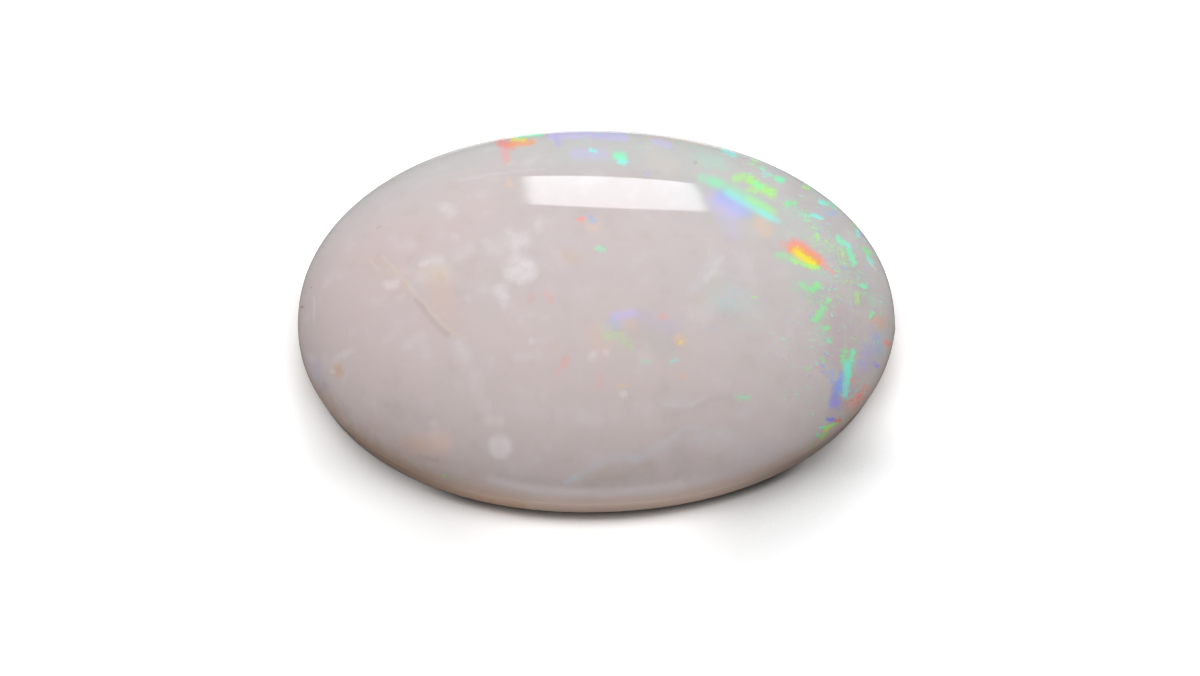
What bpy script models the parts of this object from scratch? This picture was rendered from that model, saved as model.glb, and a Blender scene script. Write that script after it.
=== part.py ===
"""An oval opal cabochon that lies on its flat back, dome up.

The stone is one solid: a domed top that stands square on its widest line, a side that draws in
below that line, a small bevel round the back and the flat back itself. +X runs along the stone
towards its slightly pointed end, +Y across it and +Z up. The origin is the middle of the
footprint, on the surface that the stone lies on. All sizes are in metres.
"""
import math

import bmesh
import bpy
from mathutils import Vector

# Driving dimensions: the overall size of a 25 x 18 mm oval
LENGTH = 0.0250
WIDTH = 0.0180
GIRDLE_HEIGHT = 0.0013      # the widest line, above the flat back
DOME_HEIGHT = 0.0056        # the top of the dome, above the widest line
BACK_INSET = 0.0004         # how far the side draws in between the widest line and the back
BACK_BEVEL = 0.00012        # the small bevel round the flat back

# The outline is an oval that was ground by hand, so it is not quite even
OVAL_FULLNESS = 2.075       # 2 is a true ellipse, and more is squarer
LEAN = 0.003                # fuller towards +X+Y and -X-Y, as a part of the local radius
TAPER = 0.005               # more pointed towards +X and blunter towards -X, likewise
SHOULDER = 0.002            # fuller on both quarters towards +Y, likewise
POINT_SIZE = 0.005          # the slight point at the +X end, as a part of the local radius
POINT_ANGLE = math.radians(-2.5)
POINT_SPREAD = math.radians(5.0)

# How finely the round forms are divided
SIDES = 96
DOME_RINGS = 22
BEVEL_SEGMENTS = 2
CREASE_ANGLE = math.radians(12.0)
CUT_TOLERANCE = 1e-5        # on the unit sphere that the dome starts as

# The finish of the polished stone
BODY_COLOUR = (0.60, 0.52, 0.50, 1.0)
POLISH_ROUGHNESS = 0.06
OPAL_IOR = 1.45


def clear_scene():
    """Remove every object that the file started with."""
    for obj in list(bpy.data.objects):
        bpy.data.objects.remove(obj, do_unlink=True)


def angle_between(first, second):
    """Return the smallest turn from one direction to another, in radians."""
    return math.remainder(first - second, math.tau)


def outline_point(angle):
    """Return the stone's widest line in plan, in the direction of an angle on a unit circle."""
    across, along = math.sin(angle), math.cos(angle)
    oval = (abs(along) ** OVAL_FULLNESS + abs(across) ** OVAL_FULLNESS) ** (-1.0 / OVAL_FULLNESS)
    triple = 3.0 * angle
    hand_cut = 1.0 + LEAN * math.sin(2.0 * angle) + TAPER * math.cos(triple) + SHOULDER * math.sin(triple)
    point = 1.0 + POINT_SIZE * math.exp(-abs(angle_between(angle, POINT_ANGLE)) / POINT_SPREAD)
    radius = oval * hand_cut * point
    return Vector((0.5 * LENGTH * radius * along, 0.5 * WIDTH * radius * across, 0.0))


def make_dome(mesh):
    """Start the stone as the upper half of a unit sphere, then shape it to the oval dome."""
    bmesh.ops.create_uvsphere(mesh, u_segments=SIDES, v_segments=2 * DOME_RINGS, radius=1.0)
    everything = mesh.verts[:] + mesh.edges[:] + mesh.faces[:]
    bmesh.ops.bisect_plane(mesh, geom=everything, dist=CUT_TOLERANCE, plane_co=(0, 0, 0), plane_no=(0, 0, 1),
                           clear_inner=True)
    for vert in mesh.verts:
        spread = math.hypot(vert.co.x, vert.co.y)
        rim = outline_point(math.atan2(vert.co.y, vert.co.x))
        vert.co = (spread * rim.x, spread * rim.y, GIRDLE_HEIGHT + DOME_HEIGHT * vert.co.z)


def pull_down_side(mesh):
    """Extrude the dome's open edge down to the back, drawing it in, and close it with the flat back."""
    open_edges = [edge for edge in mesh.edges if edge.is_boundary]
    drawn = bmesh.ops.extrude_edge_only(mesh, edges=open_edges)["geom"]
    for vert in (item for item in drawn if isinstance(item, bmesh.types.BMVert)):
        outward = Vector((vert.co.x, vert.co.y, 0.0)).normalized()
        vert.co -= BACK_INSET * outward
        vert.co.z = 0.0
    back_edges = [edge for edge in mesh.edges if edge.is_boundary]
    bmesh.ops.contextual_create(mesh, geom=back_edges)
    return back_edges


def bevel_back(mesh, back_edges):
    """Take the sharp corner off the edge of the flat back."""
    bmesh.ops.bevel(mesh, geom=back_edges, offset=BACK_BEVEL, segments=BEVEL_SEGMENTS, affect="EDGES",
                    profile=0.5, material=-1)


def centre_footprint(mesh):
    """Put the middle of the stone's footprint on the origin."""
    for axis in (0, 1):
        reach = [vert.co[axis] for vert in mesh.verts]
        middle = 0.5 * (min(reach) + max(reach))
        for vert in mesh.verts:
            vert.co[axis] -= middle


def polished_opal():
    """Return the material of the milky polished stone."""
    material = bpy.data.materials.new("opal_body")
    material.use_nodes = True
    shader = material.node_tree.nodes["Principled BSDF"]
    shader.inputs["Base Color"].default_value = BODY_COLOUR
    shader.inputs["Metallic"].default_value = 0.0
    shader.inputs["Roughness"].default_value = POLISH_ROUGHNESS
    shader.inputs["IOR"].default_value = OPAL_IOR
    material.diffuse_color = BODY_COLOUR
    return material


def make_opal(collection):
    """Model the stone and link it to the object's collection."""
    mesh = bmesh.new()
    make_dome(mesh)
    back_edges = pull_down_side(mesh)
    bevel_back(mesh, back_edges)
    centre_footprint(mesh)
    bmesh.ops.recalc_face_normals(mesh, faces=mesh.faces[:])
    data = bpy.data.meshes.new("opal")
    mesh.to_mesh(data)
    mesh.free()
    data.shade_smooth()
    data.set_sharp_from_angle(angle=CREASE_ANGLE)
    data.materials.append(polished_opal())
    opal = bpy.data.objects.new("opal", data)
    collection.objects.link(opal)
    return opal


def main():
    """Build the cabochon in a collection of its own."""
    clear_scene()
    collection = bpy.data.collections.new("opal_cabochon")
    bpy.context.scene.collection.children.link(collection)
    make_opal(collection)


main()
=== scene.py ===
"""Looks of an oval opal cabochon that lies on its flat back.

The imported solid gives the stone's place and size. One fine mesh replaces it, with a polished
milky dome and side, clouds, veins and flashes of colour inside it, and a ground flat back.
"""
import logging
import math
from dataclasses import dataclass, field
from enum import Enum

import bmesh
import bpy
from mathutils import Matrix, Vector
from mathutils.bvhtree import BVHTree


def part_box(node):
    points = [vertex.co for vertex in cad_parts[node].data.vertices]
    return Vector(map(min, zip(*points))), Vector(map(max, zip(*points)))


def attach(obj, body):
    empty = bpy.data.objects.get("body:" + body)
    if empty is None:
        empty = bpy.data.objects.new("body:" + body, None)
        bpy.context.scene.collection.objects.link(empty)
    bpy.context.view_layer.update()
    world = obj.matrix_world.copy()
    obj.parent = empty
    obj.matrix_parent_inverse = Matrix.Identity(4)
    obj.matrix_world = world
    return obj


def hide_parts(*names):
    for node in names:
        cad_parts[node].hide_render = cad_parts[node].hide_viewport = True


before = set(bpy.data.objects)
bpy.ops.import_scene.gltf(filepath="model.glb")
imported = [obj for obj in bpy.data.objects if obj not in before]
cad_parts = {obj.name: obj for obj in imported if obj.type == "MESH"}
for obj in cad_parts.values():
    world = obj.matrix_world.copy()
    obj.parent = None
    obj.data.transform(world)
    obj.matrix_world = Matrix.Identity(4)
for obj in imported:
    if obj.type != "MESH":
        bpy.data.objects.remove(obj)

LOG = logging.getLogger("opal_cabochon")
MM = 0.001
PER_MM = 1000.0
SOFT_DETAIL = 2.0       # finer noises on a soft cloud-like noise
FINE_DETAIL = 3.0       # finer noises on one that edges or clouds follow
MIDDLE_GREY = (0.5, 0.5, 0.5)
FLATTENING = (1.0, 1.0, 0.0)    # keeps X and Y

Colour = tuple[float, float, float]
Pixel = tuple[float, float]
Range = tuple[float, float]


class Hue(Enum):
    """Colours of the flashes, in linear light."""

    RED = (1.0, 0.22, 0.17)
    CORAL = (1.0, 0.36, 0.30)
    PINK = (0.92, 0.38, 0.40)
    ORANGE = (1.0, 0.40, 0.15)
    PEACH = (0.82, 0.60, 0.45)
    YELLOW = (1.0, 0.85, 0.06)
    LIME = (0.44, 1.0, 0.22)
    GREEN = (0.26, 0.95, 0.36)
    MINT = (0.26, 1.0, 0.56)
    CYAN = (0.28, 0.97, 0.88)
    AZURE = (0.30, 0.52, 0.96)
    BLUE = (0.26, 0.30, 0.95)
    VIOLET = (0.46, 0.40, 0.92)
    LAVENDER = (0.62, 0.56, 1.0)


class Tone(Enum):
    """Colours of the milky body and of what lies in it, in linear light."""

    ROSE = (0.655, 0.560, 0.555)
    MILK = (0.640, 0.570, 0.565)
    SAGE = (0.614, 0.570, 0.562)
    WHITE = (0.790, 0.745, 0.755)
    SNOW = (0.890, 0.825, 0.835)
    ROSY_WHITE = (0.780, 0.690, 0.680)
    BLUSH = (0.690, 0.600, 0.590)
    COOL_TONE_AND_REFLECTION = (0.592, 0.588, 0.578)
    APRICOT = (0.800, 0.625, 0.560)
    RUST = (0.720, 0.460, 0.320)
    CREAM = (0.730, 0.655, 0.560)
    PEACH = (0.690, 0.540, 0.470)
    TAN = (0.640, 0.490, 0.370)
    FAWN = (0.470, 0.390, 0.320)
    VIOLET_HAZE = (0.550, 0.520, 0.660)
    PALE_BLUE = (0.655, 0.665, 0.700)
    ICE = (0.640, 0.740, 0.830)
    SLATE = (0.490, 0.435, 0.435)
    TEAL_HAZE = (0.560, 0.600, 0.585)
    MAUVE = (0.500, 0.400, 0.450)
    UMBER = (0.500, 0.350, 0.270)
    BRONZE = (0.500, 0.300, 0.190)
    PIT = (0.090, 0.050, 0.030)


class Edge(Enum):
    """How the edges of a mark run."""

    SMOOTH = "even"
    WAVY = "slightly uneven"
    FLUFFY = "uneven like a cloud's"
    GRAINY = "shifted with the stone's grains"
    SPECKLED = "broken up, as only some grains show"


@dataclass(frozen=True)
class Mark:
    """A soft-edged stroke in the stone, along points read off the photograph.

    Attributes:
        name: what it is.
        colour: what the stroke turns the body to.
        path: its points in the photograph, in pixels.
        width: half its width there, in pixels.
        strength: how much of its colour shows.
        softness: the share of the width that its edge fades over.
    """

    name: str
    colour: Hue | Tone
    path: tuple[Pixel, ...]
    width: float
    strength: float
    softness: float = 0.9


# Clouds and shades in the body, from the left end to the right
CLOUDS = (
    Mark("tan haze right of the vein", Tone.PEACH, ((440, 288), (450, 318)), 13, 0.42),
    Mark("tan haze at the vein's head", Tone.PEACH, ((374, 258), (396, 282)), 9, 0.30),
    Mark("cream cloud", Tone.CREAM, ((432, 273), (443, 273)), 9.5, 0.62),
    Mark("its orange heart", Tone.TAN, ((440, 276), (442, 279)), 3.2, 0.35),
    Mark("its tan foot", Tone.PEACH, ((438, 286), (442, 300)), 9, 0.36),
    Mark("its white head", Tone.WHITE, ((430, 261), (441, 260)), 4.8, 0.44),
    Mark("white speck left of it", Tone.WHITE, ((422, 264), (425, 263)), 3.6, 0.50),
    Mark("white dash at the vein", Tone.WHITE, ((388, 285), (396, 283)), 4.2, 0.56),
    Mark("pale spot under it", Tone.WHITE, ((400, 297), (402, 299)), 4.5, 0.28),
    Mark("heart of the white cloud", Tone.WHITE, ((515, 270), (524, 268)), 9.5, 0.72),
    Mark("its right lobe", Tone.WHITE, ((528, 265), (532, 273)), 5.0, 0.52),
    Mark("its left lobe", Tone.WHITE, ((508, 274), (511, 275)), 4.2, 0.50),
    Mark("its foot", Tone.WHITE, ((520, 280), (525, 279)), 4.4, 0.55),
    Mark("its stem", Tone.WHITE, ((517, 252), (518, 258)), 4.2, 0.50),
    Mark("upper cloud", Tone.WHITE, ((516, 241), (523, 240)), 7.2, 0.62),
    Mark("faint left side of the upper cloud", Tone.WHITE, ((496, 250), (508, 244)), 7.5, 0.20),
    Mark("small cloud above it", Tone.WHITE, ((507, 231), (510, 231)), 4.0, 0.36),
    Mark("small cloud to its right", Tone.WHITE, ((540, 220), (539, 229)), 4.2, 0.42),
    Mark("head of the lower cloud", Tone.WHITE, ((498, 290), (503, 289)), 4.8, 0.62),
    Mark("body of the lower cloud", Tone.WHITE, ((503, 296), (505, 299)), 5.4, 0.62),
    Mark("foot of the lower cloud", Tone.WHITE, ((503, 305), (504, 306)), 3.4, 0.48),
    Mark("white puff at the upper left", Tone.WHITE, ((446, 210), (451, 212)), 5.6, 0.34),
    Mark("faint puff under it", Tone.WHITE, ((454, 236), (457, 237)), 4.0, 0.26),
    Mark("faint puff left of the middle", Tone.WHITE, ((486, 243), (489, 246)), 5.0, 0.32),
    Mark("faint haze left of that", Tone.WHITE, ((461, 255), (468, 250)), 7.0, 0.26),
    Mark("faint haze over the vein", Tone.WHITE, ((410, 242), (412, 246)), 5.0, 0.20),
    Mark("small puff under the middle", Tone.WHITE, ((531, 340), (533, 341)), 3.0, 0.48),
    Mark("faint puffs under that", Tone.WHITE, ((517, 357), (539, 355)), 4.5, 0.22),
    Mark("faint puff right of the vein", Tone.WHITE, ((467, 298), (468, 299)), 3.0, 0.25),
    Mark("peach puff under the middle", Tone.PEACH, ((552, 347), (556, 347)), 3.4, 0.36),
    Mark("lilac puffs under the vein", Tone.WHITE, ((408, 345), (422, 337), (426, 354)), 5.0, 0.26),
    Mark("lilac puff right of those", Tone.WHITE, ((458, 346), (461, 356)), 7.0, 0.22),
    Mark("orange spot", Tone.RUST, ((337, 367), (339, 372)), 4.8, 0.70),
    Mark("white speck at the spot", Tone.WHITE, ((333, 371), (334, 372)), 2.2, 0.45),
    Mark("white arc at the spot", Tone.WHITE, ((331, 368), (338, 357), (351, 351)), 3.4, 0.36),
    Mark("blue haze at the left edge", Tone.VIOLET_HAZE, ((313, 362), (318, 374), (324, 386)), 5.0, 0.50),
    Mark("white haze over it", Tone.WHITE, ((311, 357), (313, 361)), 3.6, 0.30),
    Mark("peach blob", Tone.APRICOT, ((419, 446), (438, 444)), 10, 0.85),
    Mark("its cream right lobe", Tone.APRICOT, ((441, 436), (444, 444)), 7.6, 0.72),
    Mark("its faint left side", Tone.PEACH, ((410, 446), (420, 446)), 9.0, 0.44),
    Mark("its pale top", Tone.WHITE, ((433, 423), (435, 424)), 3.8, 0.42),
    Mark("its white shoulder", Tone.WHITE, ((432, 433), (435, 434)), 5.4, 0.30),
    Mark("dark line under it", Tone.SLATE, ((417, 457), (428, 459), (438, 459)), 2.6, 0.40),
    Mark("grey shade over it", Tone.SLATE, ((396, 404), (424, 418)), 14, 0.16),
    Mark("pale band from the vein", Tone.WHITE, ((460, 346), (470, 372), (484, 410)), 6.0, 0.18),
    Mark("brown patch under the streak", Tone.FAWN, ((594, 481), (620, 475), (648, 470)), 9.0, 0.32, 1.0),
    Mark("mauve shade right of the streak", Tone.SLATE, ((680, 440), (682, 462)), 13, 0.26),
    Mark("pale swath over the streak", Tone.WHITE, ((520, 410), (590, 416), (648, 408)), 10, 0.16),
    Mark("bluish cloud under the fold", Tone.PALE_BLUE, ((701, 438), (714, 436), (727, 435)), 5.0, 0.46),
    Mark("its lower right specks", Tone.PALE_BLUE, ((738, 446), (743, 458)), 3.6, 0.34),
    Mark("speck right of them", Tone.PALE_BLUE, ((766, 448), (769, 451)), 4.4, 0.34),
    Mark("pale swath at the lower right", Tone.WHITE, ((724, 442), (752, 450), (776, 436)), 14, 0.20),
    Mark("shade under the fold", Tone.SLATE, ((664, 415), (694, 410), (712, 400), (732, 398)), 5.0, 0.15),
    Mark("pale bank over the fold", Tone.PALE_BLUE, ((664, 402), (680, 402), (691, 402)), 4.0, 0.20),
    Mark("faint dots right of the fold", Tone.PALE_BLUE, ((739, 417), (756, 406)), 2.6, 0.30),
    Mark("brown shade in the middle", Tone.FAWN, ((640, 330), (664, 344)), 13, 0.18),
    Mark("violet shade in the middle", Tone.VIOLET_HAZE, ((643, 317), (655, 323), (672, 326)), 8.0, 0.40),
    Mark("green shade in the middle", Tone.TEAL_HAZE, ((657, 340), (664, 346)), 9.0, 0.40),
    Mark("first white speck in the middle", Tone.WHITE, ((592, 355), (594, 357)), 4.0, 0.55),
    Mark("second white speck in the middle", Tone.WHITE, ((606, 352), (608, 353)), 3.2, 0.62),
    Mark("tan patch over the middle", Tone.TAN, ((564, 254), (574, 258)), 6.5, 0.34),
    Mark("tan streak right of the middle", Tone.TAN, ((716, 286), (706, 296), (694, 302)), 5.6, 0.22),
    Mark("pale streak over it", Tone.PALE_BLUE, ((716, 255), (705, 272), (692, 290)), 4.6, 0.36),
    Mark("white dots in it", Tone.WHITE, ((722, 258), (706, 280)), 2.8, 0.34),
    Mark("green haze right of the middle", Tone.TEAL_HAZE, ((724, 296), (746, 316)), 16, 0.38),
    Mark("pale haze right of the middle", Tone.PALE_BLUE, ((714, 294), (744, 304)), 12, 0.26),
    Mark("green haze at the upper right", Tone.TEAL_HAZE, ((700, 190), (790, 222), (824, 262)), 26, 0.60),
    Mark("green haze at the upper edge", Tone.TEAL_HAZE, ((560, 152), (700, 156)), 12, 0.45),
    Mark("mauve shade on the right", Tone.MAUVE, ((826, 300), (842, 330), (838, 352)), 16, 0.42),
    Mark("mauve shade above it", Tone.MAUVE, ((846, 262), (862, 292)), 12, 0.40),
    Mark("mauve shade at the upper right", Tone.MAUVE, ((798, 196), (832, 228)), 12, 0.30),
    Mark("mauve shade at the lower right", Tone.MAUVE, ((856, 380), (836, 416)), 9, 0.30),
    # Brown along the lower rims: partly the stone's own brown, partly painted shade where the lower edge is
    # in shadow and mirrors the shaded floor
    Mark("brown and shaded lower left rim", Tone.UMBER,
         ((318, 392), (352, 434), (400, 466), (460, 490), (520, 502)), 10, 0.50),
    Mark("brown and shaded lower right rim", Tone.UMBER, ((680, 502), (740, 488), (800, 462)), 7, 0.40),
    Mark("brown and shaded haze at the lower left", Tone.UMBER, ((372, 432), (430, 466), (476, 482)), 15, 0.20),
    Mark("grey line over the rim", Tone.SLATE, ((500, 475), (536, 481), (590, 485)), 4.0, 0.16),
)

# The warm dark line along the lower left rim: painted shade, with the warmth of light that shines through the
# stone's edge painted in
RIM_SHADE_LINES = (
    Mark("painted bronze shade along the rim", Tone.BRONZE,
         ((345, 434), (370, 450), (400, 468.5), (430, 482.5), (460, 493), (490, 501), (520, 506.5)),
         5.0, 0.74),
)

# Lines, specks and sharper blobs
FINE_LINES = (
    Mark("brown edge of the vein", Tone.FAWN, ((417, 300), (433, 321), (447, 334)), 3.0, 0.34),
    Mark("vein", Tone.CREAM,
         ((383, 256), (404, 280), (430, 311), (443, 325), (456, 334), (466, 338)), 1.8, 0.34),
    Mark("its second branch", Tone.CREAM, ((370, 260), (378, 269.5)), 1.8, 0.30),
    Mark("its short twig", Tone.CREAM, ((410, 286), (414, 290)), 1.8, 0.26),
    Mark("round white blob", Tone.SNOW, ((500, 443.5), (500.5, 449)), 10.4, 0.54, 0.6),
    Mark("left edge of the blob", Tone.SNOW, ((493, 441), (492, 449), (496, 456)), 3.0, 0.30),
    Mark("right edge of the blob", Tone.SNOW, ((506, 442), (508, 449), (502, 456)), 3.0, 0.30),
    Mark("pink blob above it", Tone.ROSY_WHITE, ((488, 420), (492, 420)), 5.6, 0.62, 0.8),
    Mark("second pink blob above it", Tone.ROSY_WHITE, ((499, 421), (501, 421)), 4.8, 0.56, 0.8),
    Mark("start of the pale streak", Tone.ICE, ((566, 482), (575, 478)), 2.6, 0.42),
    Mark("pale streak", Tone.PALE_BLUE, ((575, 478), (592, 466), (611, 458), (636, 459)), 4.0, 0.40),
    Mark("its upper stretch", Tone.PALE_BLUE, ((636, 459), (648, 453), (665, 443)), 5.0, 0.42),
    Mark("its thin end", Tone.PALE_BLUE, ((665, 443), (672, 437), (688, 427), (706, 427)), 2.0, 0.32),
    Mark("ridge line", Tone.WHITE, ((665, 405), (691, 405), (706, 397)), 1.8, 0.18),
    Mark("shadow of the ridge line", Tone.SLATE, ((694, 409), (708, 400), (729, 397)), 2.2, 0.08),
    Mark("tan ring at the pit", Tone.TAN, ((301.5, 306.5), (302.5, 307.5)), 2.2, 0.60),
    Mark("pit", Tone.PIT, ((301.8, 307), (302.2, 307)), 1.0, 0.75),
    Mark("dark speck at the left", Tone.PIT, ((311, 287), (311, 287.4)), 0.8, 0.40),
    Mark("dark dash at the upper left", Tone.FAWN, ((377.5, 228), (380.5, 226)), 1.0, 0.40),
    Mark("dark speck at the top", Tone.MAUVE, ((695, 162), (696, 163)), 1.8, 0.75),
    # A painted highlight: the glint of a reflection, drawn white on the left edge
    Mark("painted glint at the left edge", Tone.WHITE, ((314, 297), (314.5, 318)), 1.2, 0.30),
    Mark("cream dot at the bottom", Tone.CREAM, ((684.5, 486), (685.5, 486.5)), 1.5, 0.80),
    Mark("white scratch at the left", Tone.WHITE, ((403, 465), (407, 467)), 1.0, 0.50),
    Mark("pale line under the top", Tone.WHITE, ((460, 180), (500, 173), (545, 169)), 1.4, 0.22),
    # A painted reflection: the pale band where the lower dome mirrors the bright floor
    Mark("painted floor reflection over the rim", Tone.WHITE,
         ((490, 479), (512, 485), (532, 489), (568, 493), (604, 493.5), (645, 491.5), (680, 486)), 4.2, 0.34),
)

# The soft rainbow streak and other hazes of colour
SOFT_FLASHES = (
    Mark("violet haze of the streak", Hue.LAVENDER, ((719, 200), (735, 209)), 9.5, 0.58, 1.0),
    Mark("violet tail under it", Hue.LAVENDER, ((726, 216), (734, 232)), 9.0, 0.18),
    Mark("blue part of the streak", Hue.AZURE, ((722, 196), (746, 211)), 6.0, 0.36, 1.0),
    Mark("mint haze under the streak", Tone.CREAM, ((744, 227), (756, 234)), 7.0, 0.16),
    Mark("peach spot at its end", Hue.PEACH, ((760, 223), (766, 230)), 6.6, 0.52, 1.0),
    Mark("faint start of the streak", Hue.MINT, ((702, 178), (716, 184)), 4.4, 0.34),
    Mark("green edge of the streak", Hue.MINT, ((714, 181), (744, 196), (766, 209)), 4.8, 0.40, 1.0),
    Mark("cyan heart of the streak", Hue.CYAN, ((728, 193), (750, 206), (770, 217)), 3.6, 0.46, 1.0),
    Mark("cyan end of the streak", Hue.CYAN, ((762, 213), (778, 221)), 2.6, 0.40, 1.0),
    Mark("lime edge of the streak", Hue.LIME, ((750, 199), (774, 212)), 3.6, 0.36, 1.0),
    Mark("violet haze along the top", Hue.LAVENDER, ((551, 136), (590, 134), (624, 137)), 4.2, 0.66),
    Mark("violet haze under the top", Hue.LAVENDER, ((576, 154), (602, 154)), 5.5, 0.34),
    Mark("violet haze right of the top", Hue.LAVENDER, ((656, 141), (668, 145)), 3.8, 0.44),
    Mark("peach line along the top", Hue.PEACH, ((648, 137), (680, 140), (704, 145)), 1.8, 0.36),
    Mark("cream haze at the top", Tone.CREAM, ((655, 158), (672, 166)), 8, 0.24),
    Mark("mint haze at the top", Hue.MINT, ((704, 160), (718, 164)), 6.5, 0.14),
    Mark("violet bar in the middle", Hue.LAVENDER, ((615, 316.5), (624, 315), (633, 313.5)), 4.0, 0.46, 1.0),
    Mark("blue haze under it", Hue.AZURE, ((612, 322), (616, 325)), 5.0, 0.18),
    Mark("orange haze right of it", Hue.PEACH, ((630, 322), (633, 326)), 4.4, 0.20),
    Mark("orange haze left of it", Hue.PEACH, ((597, 334), (600, 342)), 8.0, 0.20, 1.0),
    Mark("lime haze in the middle", Hue.LIME, ((607, 336), (621, 336.5)), 4.2, 0.15, 1.0),
    Mark("lime haze right of that", Hue.LIME, ((626, 342), (629, 346)), 4.2, 0.12, 1.0),
    Mark("blue haze at the right edge", Hue.AZURE, ((876, 336), (878, 354)), 4.0, 0.22),
    Mark("violet haze at the right edge", Hue.VIOLET, ((868, 350), (864, 366)), 6.0, 0.26),
    Mark("orange haze at the right edge", Hue.ORANGE, ((872, 318), (882, 324)), 5.0, 0.24),
)

# Faint flecks, which only some of the stone's grains show
FLECKS = (
    Mark("mint flecks right of the middle", Hue.MINT, ((722, 300), (744, 312)), 13, 0.11),
    Mark("blue flecks right of the middle", Hue.AZURE, ((736, 290), (714, 328)), 8, 0.11),
    Mark("pink flecks right of the middle", Hue.PINK, ((708, 320), (755, 320)), 5, 0.17),
    Mark("lime flecks in the middle", Hue.LIME, ((605, 336), (620, 336), (627, 344)), 4.5, 0.10),
    Mark("mint flecks in the middle", Hue.MINT, ((604, 327), (610, 330)), 5.0, 0.12),
    Mark("orange flecks in the middle", Hue.ORANGE, ((590, 332), (602, 350)), 7.0, 0.08),
    Mark("lime flecks at the upper right", Hue.LIME, ((812, 236), (836, 252), (846, 262)), 8.0, 0.30),
    Mark("mint flecks at the upper right", Hue.MINT, ((788, 208), (808, 218), (822, 232)), 7.0, 0.23),
    Mark("blue flecks at the upper right", Hue.AZURE, ((820, 210), (838, 214)), 3.4, 0.30),
    Mark("cyan flecks at the top", Hue.CYAN, ((706, 156), (726, 160)), 7.0, 0.17),
    Mark("lime flecks by the fire patch", Hue.LIME, ((832, 272), (848, 282), (858, 296)), 5.0, 0.28),
    Mark("mint flecks by the edge", Hue.MINT, ((858, 276), (866, 290)), 4.5, 0.30),
    Mark("green flecks under the fire patch", Hue.GREEN, ((798, 286), (818, 292), (820, 318)), 8.0, 0.23),
    Mark("green flecks under those", Hue.GREEN, ((820, 330), (828, 341)), 5.0, 0.28),
    Mark("pink flecks on the right", Hue.PINK, ((838, 300), (832, 330), (840, 350)), 9.0, 0.12),
    Mark("orange flecks at the tip", Hue.ORANGE, ((874, 330), (884, 316)), 5.0, 0.25),
    Mark("blue flecks at the tip", Hue.AZURE, ((872, 330), (880, 348)), 5.5, 0.22),
    Mark("violet flecks at the tip", Hue.VIOLET, ((868, 348), (862, 366)), 5.5, 0.25),
    Mark("red flecks at the lower right", Hue.RED, ((850, 406), (862, 396)), 5.5, 0.75),
    Mark("peach flecks by the upright streak", Hue.PEACH, ((858, 386), (866, 380)), 4.0, 0.28),
    Mark("mint flecks at the ridge", Hue.MINT, ((738, 397), (750, 397.5)), 3.0, 0.40),
)

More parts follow.
